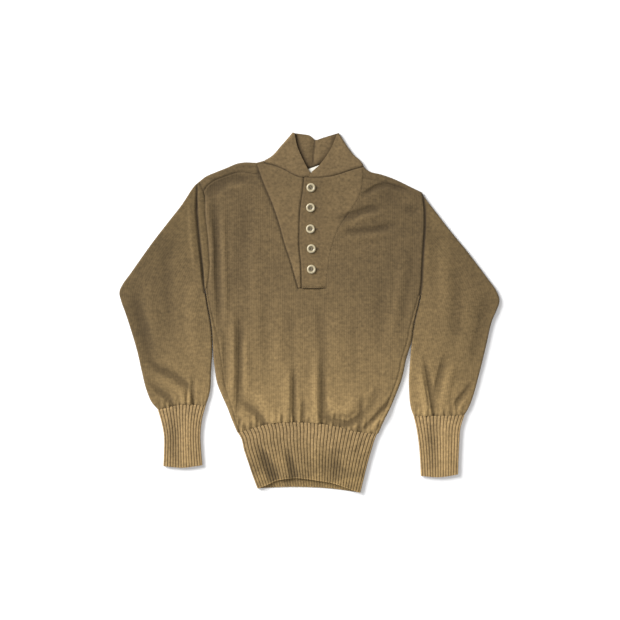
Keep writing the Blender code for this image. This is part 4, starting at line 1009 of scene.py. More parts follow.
# %% Two sleeves
LEFT_SLEEVE = [
    # inner_x, inner_y, outer_x, outer_y
    (-208.8, 41.5, -255, 218), (-207.6, 35, -283, 182), (-205.8, 26, -311, 146),
    (-203.9, 14, -337, 110), (-201.2, 0, -358, 80), (-198.3, -16, -374, 58),
    (-196, -34, -380.8, 42), (-194.9, -55, -377, 23), (-194.8, -80, -368.4, -1),
    (-196.2, -104, -357, -36), (-197.4, -124, -345, -77), (-197.9, -144, -336, -117),
    (-199.9, -160, -326.6, -154), (-203.6, -173, -316, -179), (-207.6, -184.6, -303.4, -193.4),
]
RIGHT_SLEEVE = [
    # inner_x, inner_y, outer_x, outer_y
    (223.2, 31.2, 259, 194), (221.3, 25, 287, 158), (219, 16, 312, 128),
    (215.9, 4, 335, 98), (212.3, -11, 357, 68.5), (208.7, -29, 373.4, 46),
    (206.1, -48, 380.6, 25), (203.6, -70, 375.2, 7), (201.4, -94, 365.4, -16),
    (199.8, -119, 356.2, -54), (199, -142, 347.6, -91), (199.8, -163, 338.4, -127),
    (201.2, -180, 328.6, -163), (204.4, -195, 319, -189), (208.6, -205.7, 310, -204.2),
]
LEFT_GROOVE = [(-210, 40.4), (-215, 99.4), (-222.8, 171.2), (-225.4, 204), (-225, 259)]
LEFT_ROLL = [(-208.2, 46), (-216, 99.4), (-225, 171.2), (-232, 252.8)]
RIGHT_ROLL = [(222.7, 35), (230.5, 95), (237, 184), (232.8, 228.4)]
LEFT_CUFF_BOW, RIGHT_CUFF_BOW = 6, -0.5
SLEEVE_TURNS, SLEEVE_TOP, SLEEVE_BOTTOM, SLEEVE_ROWS = 12, 84, 26, 121
SLEEVE_MIDDLE = SLEEVE_TURNS + SLEEVE_TOP // 2
SLEEVE_SHELL = 1.2


def make_sleeve(name, side, table, arm, roll, bow, seed):
    heights = np.linspace(arm[0][0] + HALF_GAP, arm[-1][0], 11)
    first = np.column_stack([read(arm, heights)[:, 0] + side * HALF_GAP, heights])
    lines = [first, np.array(roll, float)]
    lines += [np.array([row[:2], row[2:]], float) for row in table]
    for place, share in ((-1, 1), (-2, 0.5)):
        middle = lines[place].mean(axis=0) + (0, bow * share)
        lines[place] = np.array([lines[place][0], middle, lines[place][1]])
    plan = ring_plan(SLEEVE_TOP, SLEEVE_BOTTOM, SLEEVE_TURNS)
    rings = []
    for place, line in enumerate(lines):
        height = BODY_HEIGHT + (SLEEVE_HEIGHT - BODY_HEIGHT) * min(place / 3, 1)
        line = line if side > 0 else line[::-1]
        rings.append(ring(line, line, height, plan, np.zeros(len(plan[0]))))
    rows = np.linspace(0, 1, SLEEVE_ROWS)
    rows = rows - 0.35 * np.sin(2 * np.pi * rows) / (2 * np.pi)
    points = loft(rings, rows)
    top = top_share(*plan[:2])
    edge = np.minimum(plan[1], 1 - plan[1])
    calm = np.where(plan[0] == 1, held(edge * 100 / 15), 0)
    cuff_line = smooth_line(lines[-1])
    puckers = gathers([tuple(p) for p in cuff_line[::-side]], 17, 46, 1.4, seed)
    flat = points[..., :2]
    # Painted shade along the seams, in the groove beside the left armhole, where the sleeve touches the body,
    # and from the cuff's rib valleys; fold hollows are shaded and ridges painted paler.
    seams = ARM_SEAMS + TOUCHING + [(0.5, 0, cuff_line), (1.4, 1, smooth_line(LEFT_GROOVE))]
    dip, dark = seam_dip(flat, seams)
    lift = limited(relief(flat, SLEEVE_FOLDS + puckers))
    points[..., 2] += np.maximum(lift * calm + dip * top, -3.2) * top
    points[..., 2] = np.maximum(points[..., 2], 0)
    uv = cloth_lengths(points, SLEEVE_MIDDLE)
    dark = dark + teeth(flat, cuff_line[::side], CUFF_RIBS)
    shade = held(dark * top + fold_shade(lift) * calm, -1)
    return panel(name, points, uv, shade, SLEEVE_KNIT, SLEEVE_SHELL, closed=True, probe=(SLEEVE_MIDDLE, 1))


left_sleeve = make_sleeve("left_sleeve", -1, LEFT_SLEEVE, LEFT_ARMHOLE, LEFT_ROLL, LEFT_CUFF_BOW, 11)
right_sleeve = make_sleeve("right_sleeve", 1, RIGHT_SLEEVE, RIGHT_ARMHOLE, RIGHT_ROLL, RIGHT_CUFF_BOW, 12)
dress(left_sleeve, ["sleeve_left"], (0.42, 0.52), area=0.13)
dress(right_sleeve, ["sleeve_right"], (0.42, 0.52), area=0.13)

# %% [markdown]
# ## Cuffs and waistband
#
# Ribbing is knitted so that it pulls in: its ridges stand up side by side with narrow valleys between.
# The ribs are real geometry, eight columns to a rib, because their valleys shape the edge at the hem
# and catch the light from the side. The front of the waistband's hem arches up, so the inside of its
# back shows below it, with its own ribs.

# %% The ribbed tubes
LEFT_CUFF_INNER = [
    (-207.6, -184.9), (-215, -212), (-218.4, -244), (-217.2, -274), (-214.6, -304.6),
]
LEFT_CUFF_OUTER = [
    (-303.4, -193.7), (-296.4, -218), (-291.4, -244), (-291.4, -280), (-292.4, -306.4),
]
RIGHT_CUFF_INNER = [
    (208.6, -206), (213.4, -226), (219, -262), (221.4, -290), (223.2, -326),
]
RIGHT_CUFF_OUTER = [
    (310, -204.5), (303, -226), (299.6, -262), (298.4, -290), (297.2, -323),
]
BAND_LEFT = [
    (-143.4, -239.3), (-137, -250), (-131, -274), (-123, -298), (-115, -322),
    (-104, -351.4),
]
BAND_RIGHT = [
    (135.4, -241.3), (131.6, -250), (124, -274), (117, -298), (111, -322),
    (101.6, -360),
]
BAND_BACK_SEAM = [(-143.4, -239.3), (135.4, -241.3)]
BAND_FRONT_HEM = [
    (-104, -351.4), (-86, -344.4), (-66, -335.8), (-34.4, -330.8), (11, -334.6),
    (51, -342), (78, -351.6), (101.6, -360),
]
BAND_BACK_HEM = [
    (-104, -351.4), (-79, -350.2), (-19, -349.2), (41, -352), (71, -355.4),
    (101.6, -360),
]
CUFF_MOUTH_BOW = -4
RIB_HEIGHT = 1.5
RIB_PITCH = 0.0072
RIB_SHELL = 1.4
TOP_PER_RIB, CUFF_LOW_PER_RIB, BAND_LOW_PER_RIB, RIB_TURNS = 8, 6, 5, 14


def ribbed_tube(name, rings, plan, material, seam, folds, hem=0):
    """A tube with ribs from its rings of points, with painted shade in each valley and painted light at its
    hem.
    """
    points = np.array(rings)
    zone, place, phase = plan
    ribs = rib_height(phase)
    top = top_share(zone, place)
    calm = np.where(zone == 1, held(np.minimum(place, 1 - place) * 8), 0)
    flat = points[..., :2]
    lift = limited(relief(flat, folds), -3.2, 3) * calm
    distance = nearest(flat, seam)[0]
    dip = -0.5 * bell(distance, SEAM_WIDTH)
    points[..., 2] = np.maximum(points[..., 2] + (lift + dip) * top, 0)
    up = row_lengths(points) * MM
    uv = np.stack([np.broadcast_to(phase * RIB_PITCH, up.shape), up], axis=-1)
    # Painted shade in the rib valleys, a little deeper near the seam, and in the fold hollows.
    valley = (1 - ribs) ** 1.5
    shade = valley * (0.72 + 0.28 * glow(distance, 5))
    shade = held(shade + fold_shade(lift * calm), -1)
    # Painted light: the last rows, along the hem's edge, are painted paler.
    rise = np.arange(len(points))[:, None] / (len(points) - 1)
    shade = np.where(rise > 0.975, shade - hem * top, shade)
    probe = int(np.argmax(zone == 1)) + TOP_PER_RIB // 2
    return panel(name, points, uv, shade, material, RIB_SHELL, closed=True, probe=(probe, 1))


def make_cuff(name, left, right, bow):
    plan = ring_plan(CUFF_RIBS * TOP_PER_RIB, CUFF_RIBS * CUFF_LOW_PER_RIB, RIB_TURNS, CUFF_RIBS)
    ribs = RIB_HEIGHT * rib_height(plan[2])
    bows = np.array([0, 1, 0])[:, None] * np.array([[0, 1]])
    rings = []
    for place in crowded(44, 0.5):
        ends = np.array([along(left, place), along(right, place)])
        line = along(ends, np.linspace(0, 1, 3)) + bows * ((1 - place) * bow + place * CUFF_MOUTH_BOW)
        rings.append(ring(line, line, RIB_BASE, plan, ribs))
    middle = (np.array(left[0]) + right[0]) / 2 + (0, bow)
    seam = smooth_line([tuple(left[0]), tuple(middle), tuple(right[0])])
    return ribbed_tube(name, rings, plan, CUFF_KNIT, seam, CUFF_FOLDS)


def make_band():
    plan = ring_plan(BAND_RIBS * TOP_PER_RIB, BAND_RIBS * BAND_LOW_PER_RIB, RIB_TURNS, BAND_RIBS)
    ribs = RIB_HEIGHT * rib_height(plan[2])
    rise, fine = crowded(54, 0.5), np.linspace(0, 1, 33)
    left, right = along(BAND_LEFT, rise), along(BAND_RIGHT, rise)
    edges = ((BAND_FRONT_SEAM, BAND_FRONT_HEM), (BAND_BACK_SEAM, BAND_BACK_HEM))
    layers = [patch(left, right, along(low, fine), along(high, fine), fine, rise) for low, high in edges]
    rings = [ring(front, back, RIB_BASE, plan, ribs) for front, back in zip(*layers)]
    return ribbed_tube("waist_band", rings, plan, BAND_KNIT, WAIST_SEAM[0][2], BAND_FOLDS, hem=0.7)


left_cuff = make_cuff("left_cuff", LEFT_CUFF_OUTER, LEFT_CUFF_INNER, LEFT_CUFF_BOW)
right_cuff = make_cuff("right_cuff", RIGHT_CUFF_INNER, RIGHT_CUFF_OUTER, RIGHT_CUFF_BOW)
band = make_band()
dress(left_cuff, ["cuff_left"], (0.17, 0.12))
dress(right_cuff, ["cuff_right"], (0.17, 0.12))
dress(band, ["waistband"], (0.50, 0.12))

# %% [markdown]
# ## The neck inset
#
# The inset is a smooth, tight knit in two halves. The half on the viewer's right laps over the other
# and carries the buttonholes, so it stands one cloth higher along its free edge and slopes down
# beside the buttons. The half below dips beside that edge, and painted shade there draws the dark line.

# %% The two halves
NECK_SEAMS = [(1.3, 0.7, smooth_line(LEFT_NECK_SEAM)), (1.3, 0.7, smooth_line(RIGHT_NECK_SEAM))]
PLACKET_LINE = smooth_line(PLACKET_EDGE)


def make_under_half():
    rise, across = crowded(100), crowded(64, 0.5)
    corner = LEFT_NECK_SIDE[0][1] - BODY_ROLL - NECK_LIP - HALF_GAP
    left = shifted(inset_seam(LEFT_INSET_SEAM, INSET_FOOT, corner, rise), x=HALF_GAP)
    right = along(UNDER_EDGE, rise)
    neck = [(x, y - HALF_GAP) for x, y in LEFT_NECK_SEAM]
    high = along([tuple(left[-1]), *neck, tuple(right[-1])], across)
    low = left[0] + across[:, None] * (right[0] - left[0])
    points = patch(left, right, low, high, across, rise)
    dip, dark = seam_dip(points, INSET_SEAMS + NECK_SEAMS)
    distance = nearest(points, PLACKET_LINE)[0]
    height = INSET_HEIGHT + dip - 1.5 * bell(distance, 4)
    # Painted shade: a dark line beside the placket's free edge.
    shade = held(dark + 0.9 * glow(distance, 2))
    return panel("inset_under_half", raised(points, height), points * MM, shade, INSET_KNIT)


def make_over_half():
    rise = crowded(100)
    edge = along(PLACKET_EDGE, rise)
    corner = RIGHT_NECK_SEAM[-1][1] - 2 * HALF_GAP
    right = shifted(inset_seam(RIGHT_INSET_SEAM, INSET_FOOT, corner, rise), x=-HALF_GAP)
    slope_start = along(SLOPE_START, rise)
    slope_end = slope_start + np.minimum(PLACKET_SLOPE, 0.85 * (right - slope_start)[:, :1]) * (1, 0)
    groups = []
    for start, end, across, first, last in (
        (edge, slope_start, crowded(22, 0.4), PLACKET_HEIGHT, PLACKET_HEIGHT),
        (slope_start, slope_end, np.linspace(0, 1, 15), PLACKET_HEIGHT, INSET_HEIGHT),
        (slope_end, right, crowded(40, 0.4), INSET_HEIGHT, INSET_HEIGHT),
    ):
        flat = start[:, None] + (end - start)[:, None] * across[None, :, None]
        eased = first + (last - first) * across**2 * (3 - 2 * across)
        groups.append(raised(flat, np.broadcast_to(eased, flat.shape[:-1])))
    points = np.concatenate([groups[0], groups[1][:, 1:], groups[2][:, 1:]], axis=1)
    neck = read(RIGHT_NECK_SEAM, points[-1, :, 0])[:, 0] - 2 * HALF_GAP
    points[..., 1] += rise[:, None] ** 2 * (neck - points[-1, :, 1])[None]
    lift, shade = seam_dip(points[..., :2], INSET_SEAMS + [NECK_SEAMS[1]])
    pull = limited(relief(points[..., :2], BODY_FOLDS), -3, 2)
    lift, shade = lift + pull, shade + np.maximum(fold_shade(pull), 0)
    distance = nearest(points[..., :2], PLACKET_LINE)[0]
    on_placket = held((points[..., 2] - INSET_HEIGHT) / (PLACKET_HEIGHT - INSET_HEIGHT))
    lift = lift * (1 - on_placket) + np.clip(lift, -0.6, 0.4) * on_placket
    points[..., 2] += lift - 0.8 * held(1 - distance / 2.5) ** 2
    # Painted shade in the folds' hollows and along the free edge, and painted light on the slope beside the
    # buttons, which faces away from the light; the placket is made darker and the rest a little paler.
    slope = on_placket * (1 - on_placket)
    shade = shade * (1 - 0.6 * on_placket) + 0.2 * on_placket - 1.1 * slope - 0.05
    shade = held(shade + 0.45 * glow(distance, 1.2), -1)
    return panel("inset_over_half", points, points[..., :2] * MM, shade, INSET_KNIT, thickness=1.5)


under_half = make_under_half()
over_half = make_over_half()
dress(under_half, ["inset_under"], (0.125, 0.26), area=0.0165)
dress(over_half, ["inset_over"], (0.125, 0.26), area=0.0165)

# %% [markdown]
# ## The collar
#
# The collar is a double band. Its back lies down behind the neck, and it folds over at each side so
# that its two ends meet at the top button, the right one over the left. It is one sheet in three
# parts: a front flap, a round turn and the back, then the turn and the flap of the other side. The
# back has a crease down its centre, as a folded collar keeps.

# %% The collar
COLLAR_LEFT_FOLD = [(-88.6, 306.4), (-76, 314.2), (-56.5, 335.6), (-34.6, 360.4)]
COLLAR_RIGHT_FOLD = [(106.4, 298.2), (103.4, 303.4), (88.2, 317.2), (77.4, 331.6), (59.8, 359.3)]
COLLAR_FOOT_TURN = {-1: (0, 1), 1: (0.25, 0.97)}
COLLAR_TOP_TURN = {-1: (-1, 0), 1: (1, 0)}
COLLAR_LEFT_EDGE = [
    (7, 271.4), (4.6, 277.4), (0, 283), (-4.2, 290), (-14, 309), (-24.6, 333.6), (-29.8, 357.6),
]
COLLAR_RIGHT_EDGE = [
    (-1.4, 271.2), (2.8, 279.6), (19.4, 295.6), (35, 315.8), (46.2, 335.8), (54.2, 356),
]
COLLAR_BACK_TOP = [
    (-31.6, 360.2), (-14, 358), (1, 355), (10.8, 347), (28.4, 351.4), (55.6, 359.8),
]
COLLAR_CREASE = [(10.4, 350), (9, 330), (6, 296)]
COLLAR_RADIUS, COLLAR_MIDDLE, COLLAR_CLOTH = 4.5, 3, 2.8


def collar_fold(line, side, rise):
    """A fold's outline and the way that it faces, from the foot to the top."""
    coarse = np.linspace(0, 1, 8)
    outline = along(line, coarse)
    run = np.gradient(outline, axis=0)
    out = np.column_stack([run[:, 1], -run[:, 0]]) * side
    out /= np.linalg.norm(out, axis=1, keepdims=True)
    out[0], out[-1] = COLLAR_FOOT_TURN[side], COLLAR_TOP_TURN[side]
    out = read(np.column_stack([coarse, out]), rise)
    return along(line, rise), out / np.linalg.norm(out, axis=1, keepdims=True)


def make_collar():
    rise, flap, back_across = crowded(34, 0.4), crowded(32, 0.4), np.linspace(0, 1, 45)
    turn = np.radians(np.linspace(90, -90, 13))
    high, low = COLLAR_RADIUS + COLLAR_MIDDLE, COLLAR_RADIUS - COLLAR_MIDDLE
    columns = []

    def turned(outline, out, angles):
        for angle in angles:
            place = outline - out * (COLLAR_RADIUS - COLLAR_MIDDLE * math.cos(angle))
            columns.append(raised(place, COLLAR_RADIUS + COLLAR_MIDDLE * math.sin(angle)))

    left_outline, left_out = collar_fold(COLLAR_LEFT_FOLD, -1, rise)
    left_top = left_outline - COLLAR_RADIUS * left_out
    left_edge = along(COLLAR_LEFT_EDGE, rise)
    base = shifted(along([COLLAR_LEFT_EDGE[0]] + LEFT_NECK_SEAM[::-1], flap), y=HALF_GAP)
    base[-1] = left_top[0]
    crown = left_edge[-1] + flap[:, None] * (left_top[-1] - left_edge[-1])
    sheet = patch(left_edge, left_top, base, crown, flap, rise)
    for place in range(len(flap) - 1):
        lap = max(0, 0.3 - flap[place]) / 0.3
        columns.append(raised(sheet[:, place], high - 1.3 * lap * (1 - rise) ** 3))
    turned(left_outline, left_out, turn)

    right_outline, right_out = collar_fold(COLLAR_RIGHT_FOLD, 1, rise)
    right_top = right_outline - COLLAR_RADIUS * right_out
    seam = shifted(along(BACK_NECK_SEAM, back_across), y=HALF_GAP)
    seam[0], seam[-1] = left_top[0], right_top[0]
    top = along(COLLAR_BACK_TOP, back_across)
    top[0], top[-1] = left_top[-1], right_top[-1]
    sheet = patch(left_top, right_top, seam, top, back_across, rise)
    distance = nearest(sheet, COLLAR_CREASE)[0]
    calm = held(np.minimum(back_across, 1 - back_across) * 6)[None]
    calm = calm * held(rise * 4)[:, None]
    arch = 2.2 * (1 - glow(distance, 6)) * calm
    crease = glow(distance, 1.8) * calm
    columns += [raised(sheet[:, place], low + arch[:, place]) for place in range(1, len(back_across) - 1)]
    first_back = len(columns) - len(back_across) + 2
    turned(right_outline, right_out, turn[::-1])

    right_edge = along(COLLAR_RIGHT_EDGE, rise)
    base = shifted(along(RIGHT_NECK_SEAM[::-1], flap), y=HALF_GAP)
    base[0] = right_top[0]
    crown = right_top[-1] + flap[:, None] * (right_edge[-1] - right_top[-1])
    sheet = patch(right_top, right_edge, base, crown, flap, rise)
    for place in range(1, len(flap)):
        lap = max(0, flap[place] - 0.55) / 0.45
        columns.append(raised(sheet[:, place], high + 1.6 * lap * (1 - rise) ** 1.5))
    points = np.stack(columns, axis=1)
    # Painted shade along the back's crease and the neck seams, and on the inside of the back, darkest under
    # the flaps' edges and at its foot.
    shade = np.zeros(points.shape[:2])
    shade[:, first_back : first_back + len(back_across) - 2] = crease[:, 1:-1] * 0.8
    dip, dark = seam_dip(points[..., :2], NECK_SEAMS)
    upper = held((points[..., 2] - COLLAR_RADIUS) / COLLAR_MIDDLE)
    points[..., 2] += dip * upper
    shade = held(shade + dark * upper * 0.9)
    edges = [nearest(points[..., :2], line)[0] for line in (COLLAR_LEFT_EDGE, COLLAR_RIGHT_EDGE)]
    under_flaps = np.maximum(0.75 * glow(edges[0], 7), 0.5 * glow(edges[1], 7))
    inside = 0.13 + under_flaps + 0.6 * glow(rise * 50, 3)[:, None]
    shade = held(shade + inside * (1 - upper))
    uv = cloth_lengths(points, points.shape[1] // 2)
    return panel("stand_collar", points, uv, shade, COLLAR_KNIT, COLLAR_CLOTH, offset=0, bevel=0.9)


collar = make_collar()
dress(collar, ["collar"], (0.42, 0.085), area=0.0225)

# %% [markdown]
# ## Buttons
#
# Each button is turned: a profile with a raised rim and a dished centre is spun round its axis. Four
# holes are cut through it, and two bars of brown thread hold it on. One button is made, and copied to
# the five places.

# %% A turned button
BUTTON_PLACES = [(2.9, 250.5), (2.2, 210.4), (1.9, 168), (3.8, 128.4), (3.8, 87.3)]
BUTTON_BASE = 11
BUTTON_PROFILE = [
    # radius, height
    (0, 1.3), (1.2, 1.3), (2.8, 1.3), (4.1, 1.4), (4.7, 1.8), (5.1, 2.5), (5.7, 3.2), (6.6, 3.4),
    (7.5, 3.25), (8.3, 2.75),
    (8.85, 2), (9, 1.3), (8.8, 0.7), (8.2, 0.25), (7.3, 0), (0, 0),
]
HOLE_RADIUS, HOLE_PLACE = 0.95, 1.75
STRAND = 0.26
FINE_BUMP = 0.0001


def horn():
    """Pale horn-like plastic with cloudy streaks and a soft gloss."""
    finish = Finish("horn_button")
    place = finish.node("ShaderNodeTexCoord", None, None, "Object")
    cloud = finish.noise(place, 260, 4, Distortion=1.2)
    grain = finish.noise(place, 1500, 2)
    colour = finish.mix(cloud, (0.24, 0.19, 0.10, 1), (0.56, 0.49, 0.33, 1))
    # Painted shade: the shade attribute darkens the dish towards a dark brown.
    shade = finish.node("ShaderNodeAttribute", {"attribute_name": "shade"}, None, "Fac")
    colour = finish.mix(shade, colour, (0.060, 0.043, 0.018, 1))
    bump = finish.bump(0.3, FINE_BUMP, grain)
    finish.set(BaseColor=colour, Roughness=0.32 + grain * 0.15, Normal=bump)
    finish.set(CoatWeight=0.3, CoatRoughness=0.2)
    return finish.material


def thread():
    """Spun sewing thread: a fine twist of light and dark."""
    finish = Finish("sewing_thread")
    place = finish.node("ShaderNodeTexCoord", None, None, "Object")
    twist = finish.noise(place, 2400, 2)
    colour = finish.mix(twist, (0.035, 0.022, 0.010, 1), (0.115, 0.078, 0.038, 1))
    bump = finish.bump(0.5, FINE_BUMP, twist)
    finish.set(BaseColor=colour, Roughness=0.6 + twist * 0.2, Normal=bump)
    return finish.material


HORN, THREAD = horn(), thread()


def turned_button():
    shape = bmesh.new()
    shade = shape.verts.layers.float.new("shade")
    rim = [shape.verts.new((radius * MM, 0, height * MM)) for radius, height in BUTTON_PROFILE]
    edges = [shape.edges.new(pair) for pair in zip(rim, rim[1:])]
    bmesh.ops.spin(
        shape, geom=rim + edges, axis=(0, 0, 1), cent=(0, 0, 0), angle=2 * math.pi, steps=48, use_merge=True
    )
    bmesh.ops.remove_doubles(shape, verts=shape.verts, dist=1e-6)
    bmesh.ops.recalc_face_normals(shape, faces=shape.faces)
    # The dished centre is painted dark: painted shade in its recess, with the darker colour of the dirt and
    # thread there.
    for vert in shape.verts:
        radius = math.hypot(vert.co.x, vert.co.y) / MM
        vert[shade] = 0.72 if vert.co.z > 0.5 * MM and radius < 4.8 else 0
    body = add_piece("button_blank", shape, HORN)
    holes = bmesh.new()
    wide, away = HOLE_RADIUS * MM, HOLE_PLACE * MM
    for x in (-away, away):
        for y in (-away, away):
            drill = bmesh.ops.create_cone(
                holes, cap_ends=True, segments=16, radius1=wide, radius2=wide, depth=0.012
            )
            bmesh.ops.translate(holes, vec=(x, y, 0), verts=drill["verts"])
    cutter = add_piece("button_drill", holes, HORN)
    cut = body.modifiers.new("Holes", "BOOLEAN")
    cut.object = cutter
    cut.solver = "EXACT"
    graph = bpy.context.evaluated_depsgraph_get()
    mesh = bpy.data.meshes.new_from_object(body.evaluated_get(graph))
    bpy.data.objects.remove(body)
    bpy.data.objects.remove(cutter)
    mesh.set_sharp_from_angle(angle=math.radians(SHARP_EDGE))
    return mesh


def thread_bars(shape, x, y, z, turn):
    """Two bars of thread across the four holes, each of three strands that go down into them."""
    for side in (-1, 1):
        for strand in (-0.42, 0, 0.42):
            bar = bmesh.ops.create_cone(
                shape, cap_ends=True, segments=8, radius1=STRAND * MM, radius2=STRAND * MM,
                depth=2 * HOLE_PLACE * MM,
            )
            verts = bar["verts"]
            bmesh.ops.rotate(shape, cent=(0, 0, 0), matrix=Matrix.Rotation(math.pi / 2, 3, "X"), verts=verts)
            for vert in verts:
                vert.co.z += 0.35 * MM * (1 - (vert.co.y / (HOLE_PLACE * MM)) ** 2)
            bmesh.ops.translate(shape, vec=((side * HOLE_PLACE + strand) * MM, 0, 1.55 * MM), verts=verts)
            bmesh.ops.rotate(shape, cent=(0, 0, 0), matrix=Matrix.Rotation(turn, 3, "Z"), verts=verts)
            bmesh.ops.translate(shape, vec=(x * MM, y * MM, z * MM), verts=verts)


button_mesh = turned_button()
buttons = []
threads = bmesh.new()
for number, (x, y) in enumerate(BUTTON_PLACES, start=1):
    mesh = button_mesh.copy()
    turn = math.radians(12 * math.sin(2.1 * number))
    mesh.transform(Matrix.Translation((x * MM, y * MM, BUTTON_BASE * MM)) @ Matrix.Rotation(turn, 4, "Z"))
    button = bpy.data.objects.new(f"horn_button_{number}", mesh)
    bpy.context.scene.collection.objects.link(button)
    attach(button, "root")
    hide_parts(f"button_{number}")
    thread_bars(threads, x, y, BUTTON_BASE, turn)
    buttons.append(button)
button_threads = add_piece("button_threads", threads, THREAD)
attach(button_threads, "root")
print("buttons:", len(buttons), "of", len(button_mesh.polygons), "faces")

# %% [markdown]
# ## Sewing
#
# Stitches are small slips of thread laid along a line. Each is a squashed ball, laid on the surface
# under it, which a tree of nearest points finds. They run beside the placket's free edge and foot,
# and round each buttonhole.

# %% Rows of stitches
def heights_of(*pieces):
    """A function that gives the height of the nearest point of the given pieces."""
    points = [vert.co for piece in pieces for vert in piece.data.vertices if vert.normal.z > 0.2]
    tree = KDTree(len(points))
    for number, point in enumerate(points):
        tree.insert((point.x, point.y, 0), number)
    tree.balance()
    return lambda x, y: points[tree.find((x, y, 0))[1]].z


def stitch(shape, x, y, z, turn, length, width):
    verts = bmesh.ops.create_uvsphere(shape, u_segments=6, v_segments=4, radius=0.5 * MM)["verts"]
    bmesh.ops.scale(shape, vec=(length, width, width * 0.8), verts=verts)
    bmesh.ops.rotate(shape, cent=(0, 0, 0), matrix=Matrix.Rotation(turn, 3, "Z"), verts=verts)
    bmesh.ops.translate(shape, vec=(x, y, z + 0.1 * MM), verts=verts)


def stitch_line(shape, line, height, spacing, length=2.2, width=0.55, offset=0):
    """Stitches along a line, each turned with it."""
    total = np.linalg.norm(np.diff(smooth_line(line), axis=0), axis=1).sum()
    count = int(total / spacing)
    places = (np.arange(count) + 0.5) / count
    points = along(line, places)
    run = along(line, np.clip(places + 0.01, 0, 1)) - along(line, np.clip(places - 0.01, 0, 1))
    for (x, y), (dx, dy) in zip(points, run):
        size = math.hypot(dx, dy)
        x, y = (x - dy / size * offset) * MM, (y + dx / size * offset) * MM
        stitch(shape, x, y, height(x, y), math.atan2(dy, dx), length, width)
    return count


def sew(name, rows, height):
    shape = bmesh.new()
    count = sum(stitch_line(shape, row[0], height, *row[1:]) for row in rows)
    piece = add_piece(name, shape, THREAD)
    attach(piece, "root")
    print(f"{name}: {count} stitches")
    return piece


on_over = heights_of(over_half)
over_foot = [(-15, INSET_FOOT + 4), (31.5, INSET_FOOT + 4)]
placket_stitches = sew(
    "placket_stitches",
    [(PLACKET_EDGE, 3.4, 2.3, 0.5, -5), (over_foot, 3.4, 2.3, 0.5)],
    on_over,
)


def buttonholes():
    shape = bmesh.new()
    for x, y in BUTTON_PLACES:
        for side in (-1, 1):
            for place in np.arange(-10, 13.1, 0.9):
                at = ((x + place) * MM, (y + side * 1.05) * MM)
                stitch(shape, at[0], at[1], on_over(*at), math.pi / 2, 1.5, 0.75)
        for turn in np.radians(np.linspace(-80, 80, 6)):
            at = ((x + 13 + 0.9 * math.cos(turn)) * MM, (y + 1.05 * math.sin(turn)) * MM)
            stitch(shape, at[0], at[1], on_over(*at), turn, 1.4, 0.7)
    return shape


buttonhole_thread = add_piece("buttonhole_thread", buttonholes(), THREAD)
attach(buttonhole_thread, "root")

# %% [markdown]
# ## The label
#
# A bare strip of white woven tape is sewn inside the back neck, and its corner shows between the
# collar's flaps. It is a small sheet with a fine weave.

# %% The neck label
LABEL_SIZE = (52, 30)
LABEL_PLACE = (3.2, 274.2, 2.75)
LABEL_TURN = 20


def woven_tape():
    finish = Finish("woven_tape")
    surface = finish.node("ShaderNodeUVMap", {"uv_map": "UVMap"})
    split = finish.node("ShaderNodeSeparateXYZ", None, {0: surface})
    up = split.out(1)
    warp = (split * (2 * math.pi / 0.0006)).of("SINE")
    weft = (up * (2 * math.pi / 0.0005)).of("SINE")
    weave = warp * weft * 0.5 + 0.5
    colour = finish.mix(weave * 0.5, (0.79, 0.77, 0.68, 1), (0.68, 0.66, 0.58, 1))
    bump = finish.bump(0.4, FINE_BUMP, weave)
    finish.set(BaseColor=colour, Roughness=0.62 + weave * 0.1, Normal=bump)
    return finish.material


def make_label():
    x, y = np.meshgrid(crowded(28, 0.5) - 0.5, crowded(18, 0.5) - 0.5)
    flat = np.stack([x * LABEL_SIZE[0], y * LABEL_SIZE[1]], axis=-1)
    height = 0.75 + 0.15 * np.sin(x * 7) + 0.15 * np.cos(y * 5)
    turn = math.radians(LABEL_TURN)
    spin = np.array([[math.cos(turn), math.sin(turn)], [-math.sin(turn), math.cos(turn)]])
    points = raised(flat @ spin + LABEL_PLACE[:2], LABEL_PLACE[2] + height)
    return panel("woven_label", points, flat * MM, np.zeros(x.shape), woven_tape(), thickness=0.5)


label = make_label()
dress(label, ["neck_label"], (0.052, 0.030))

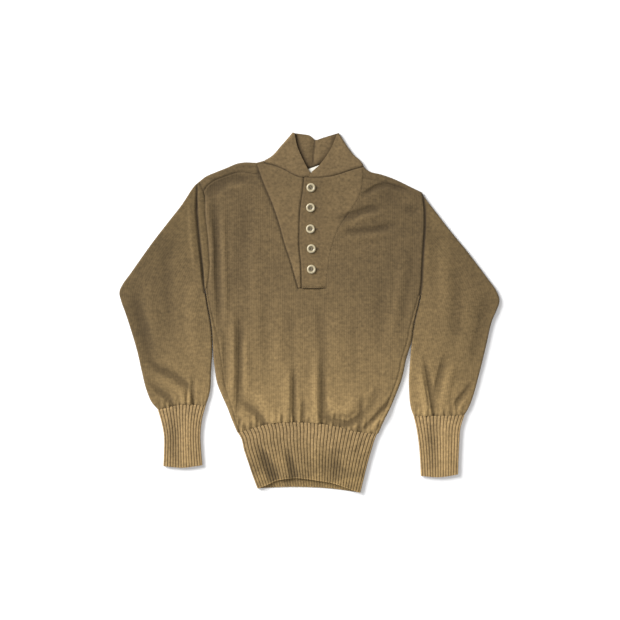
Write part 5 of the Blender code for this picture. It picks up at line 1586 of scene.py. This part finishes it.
# %% [markdown]
# ## Floor, light and camera
#
# The photo is a cut-out on white with a soft shadow, seen from straight above. A large pale floor, a
# broad soft light from the upper left and an even fill give the same: the folds show by their own
# soft shade, helped by the painted shade in their hollows, and a faint shadow falls to the lower right.

# %% Floor and lights
def pale_floor():
    finish = Finish("pale_floor")
    place = finish.node("ShaderNodeTexCoord", None, None, "Object")
    grain = finish.noise(place, 90, 2)
    colour = finish.mix(grain, (0.90, 0.90, 0.905, 1), (0.93, 0.93, 0.935, 1))
    finish.set(BaseColor=colour, Roughness=0.9 + grain * 0.05)
    finish.set(SpecularIORLevel=0.1)
    return finish.material


floor_shape = bmesh.new()
bmesh.ops.create_grid(floor_shape, x_segments=2, y_segments=2, size=4)
floor = add_piece("stage_floor", floor_shape, pale_floor())
floor.location.z = -0.0002


def area_light(name, place, target, size, power):
    data = bpy.data.lights.new(name, "AREA")
    data.shape = "DISK"
    data.size = size
    data.energy = power
    lamp = bpy.data.objects.new(name, data)
    lamp.location = place
    lamp.rotation_euler = (Vector(target) - Vector(place)).to_track_quat("-Z", "Y").to_euler()
    bpy.context.scene.collection.objects.link(lamp)


area_light("key_light", (-3.5, 2.3, 2.6), (0, 0, 0), 3, 440)
area_light("low_fill", (0.3, -1.8, 2.4), (0, -0.1, 0), 2, 14)
world = bpy.data.worlds.new("studio")
bpy.context.scene.world = world
world.use_nodes = True
sky = world.node_tree.nodes["Background"].inputs
sky["Color"].default_value, sky["Strength"].default_value = (1, 1, 1, 1), 0.5

# %% [markdown]
# The camera hangs straight above. Its field is 1.24 metres, which puts 2 millimetres in each pixel of
# a 620-pixel frame, as in the photo.

# %% Camera
FIELD, CAMERA_HEIGHT, SENSOR = 1.24, 3, 36
lens_data = bpy.data.cameras.new("camera")
lens_data.sensor_width = SENSOR
lens_data.lens = SENSOR * (CAMERA_HEIGHT - BODY_HEIGHT * MM) / FIELD
camera = bpy.data.objects.new("camera", lens_data)
camera.location = (0.001, 0.006, CAMERA_HEIGHT)
bpy.context.scene.collection.objects.link(camera)
bpy.context.scene.camera = camera
bpy.context.scene.view_settings.view_transform = "Standard"
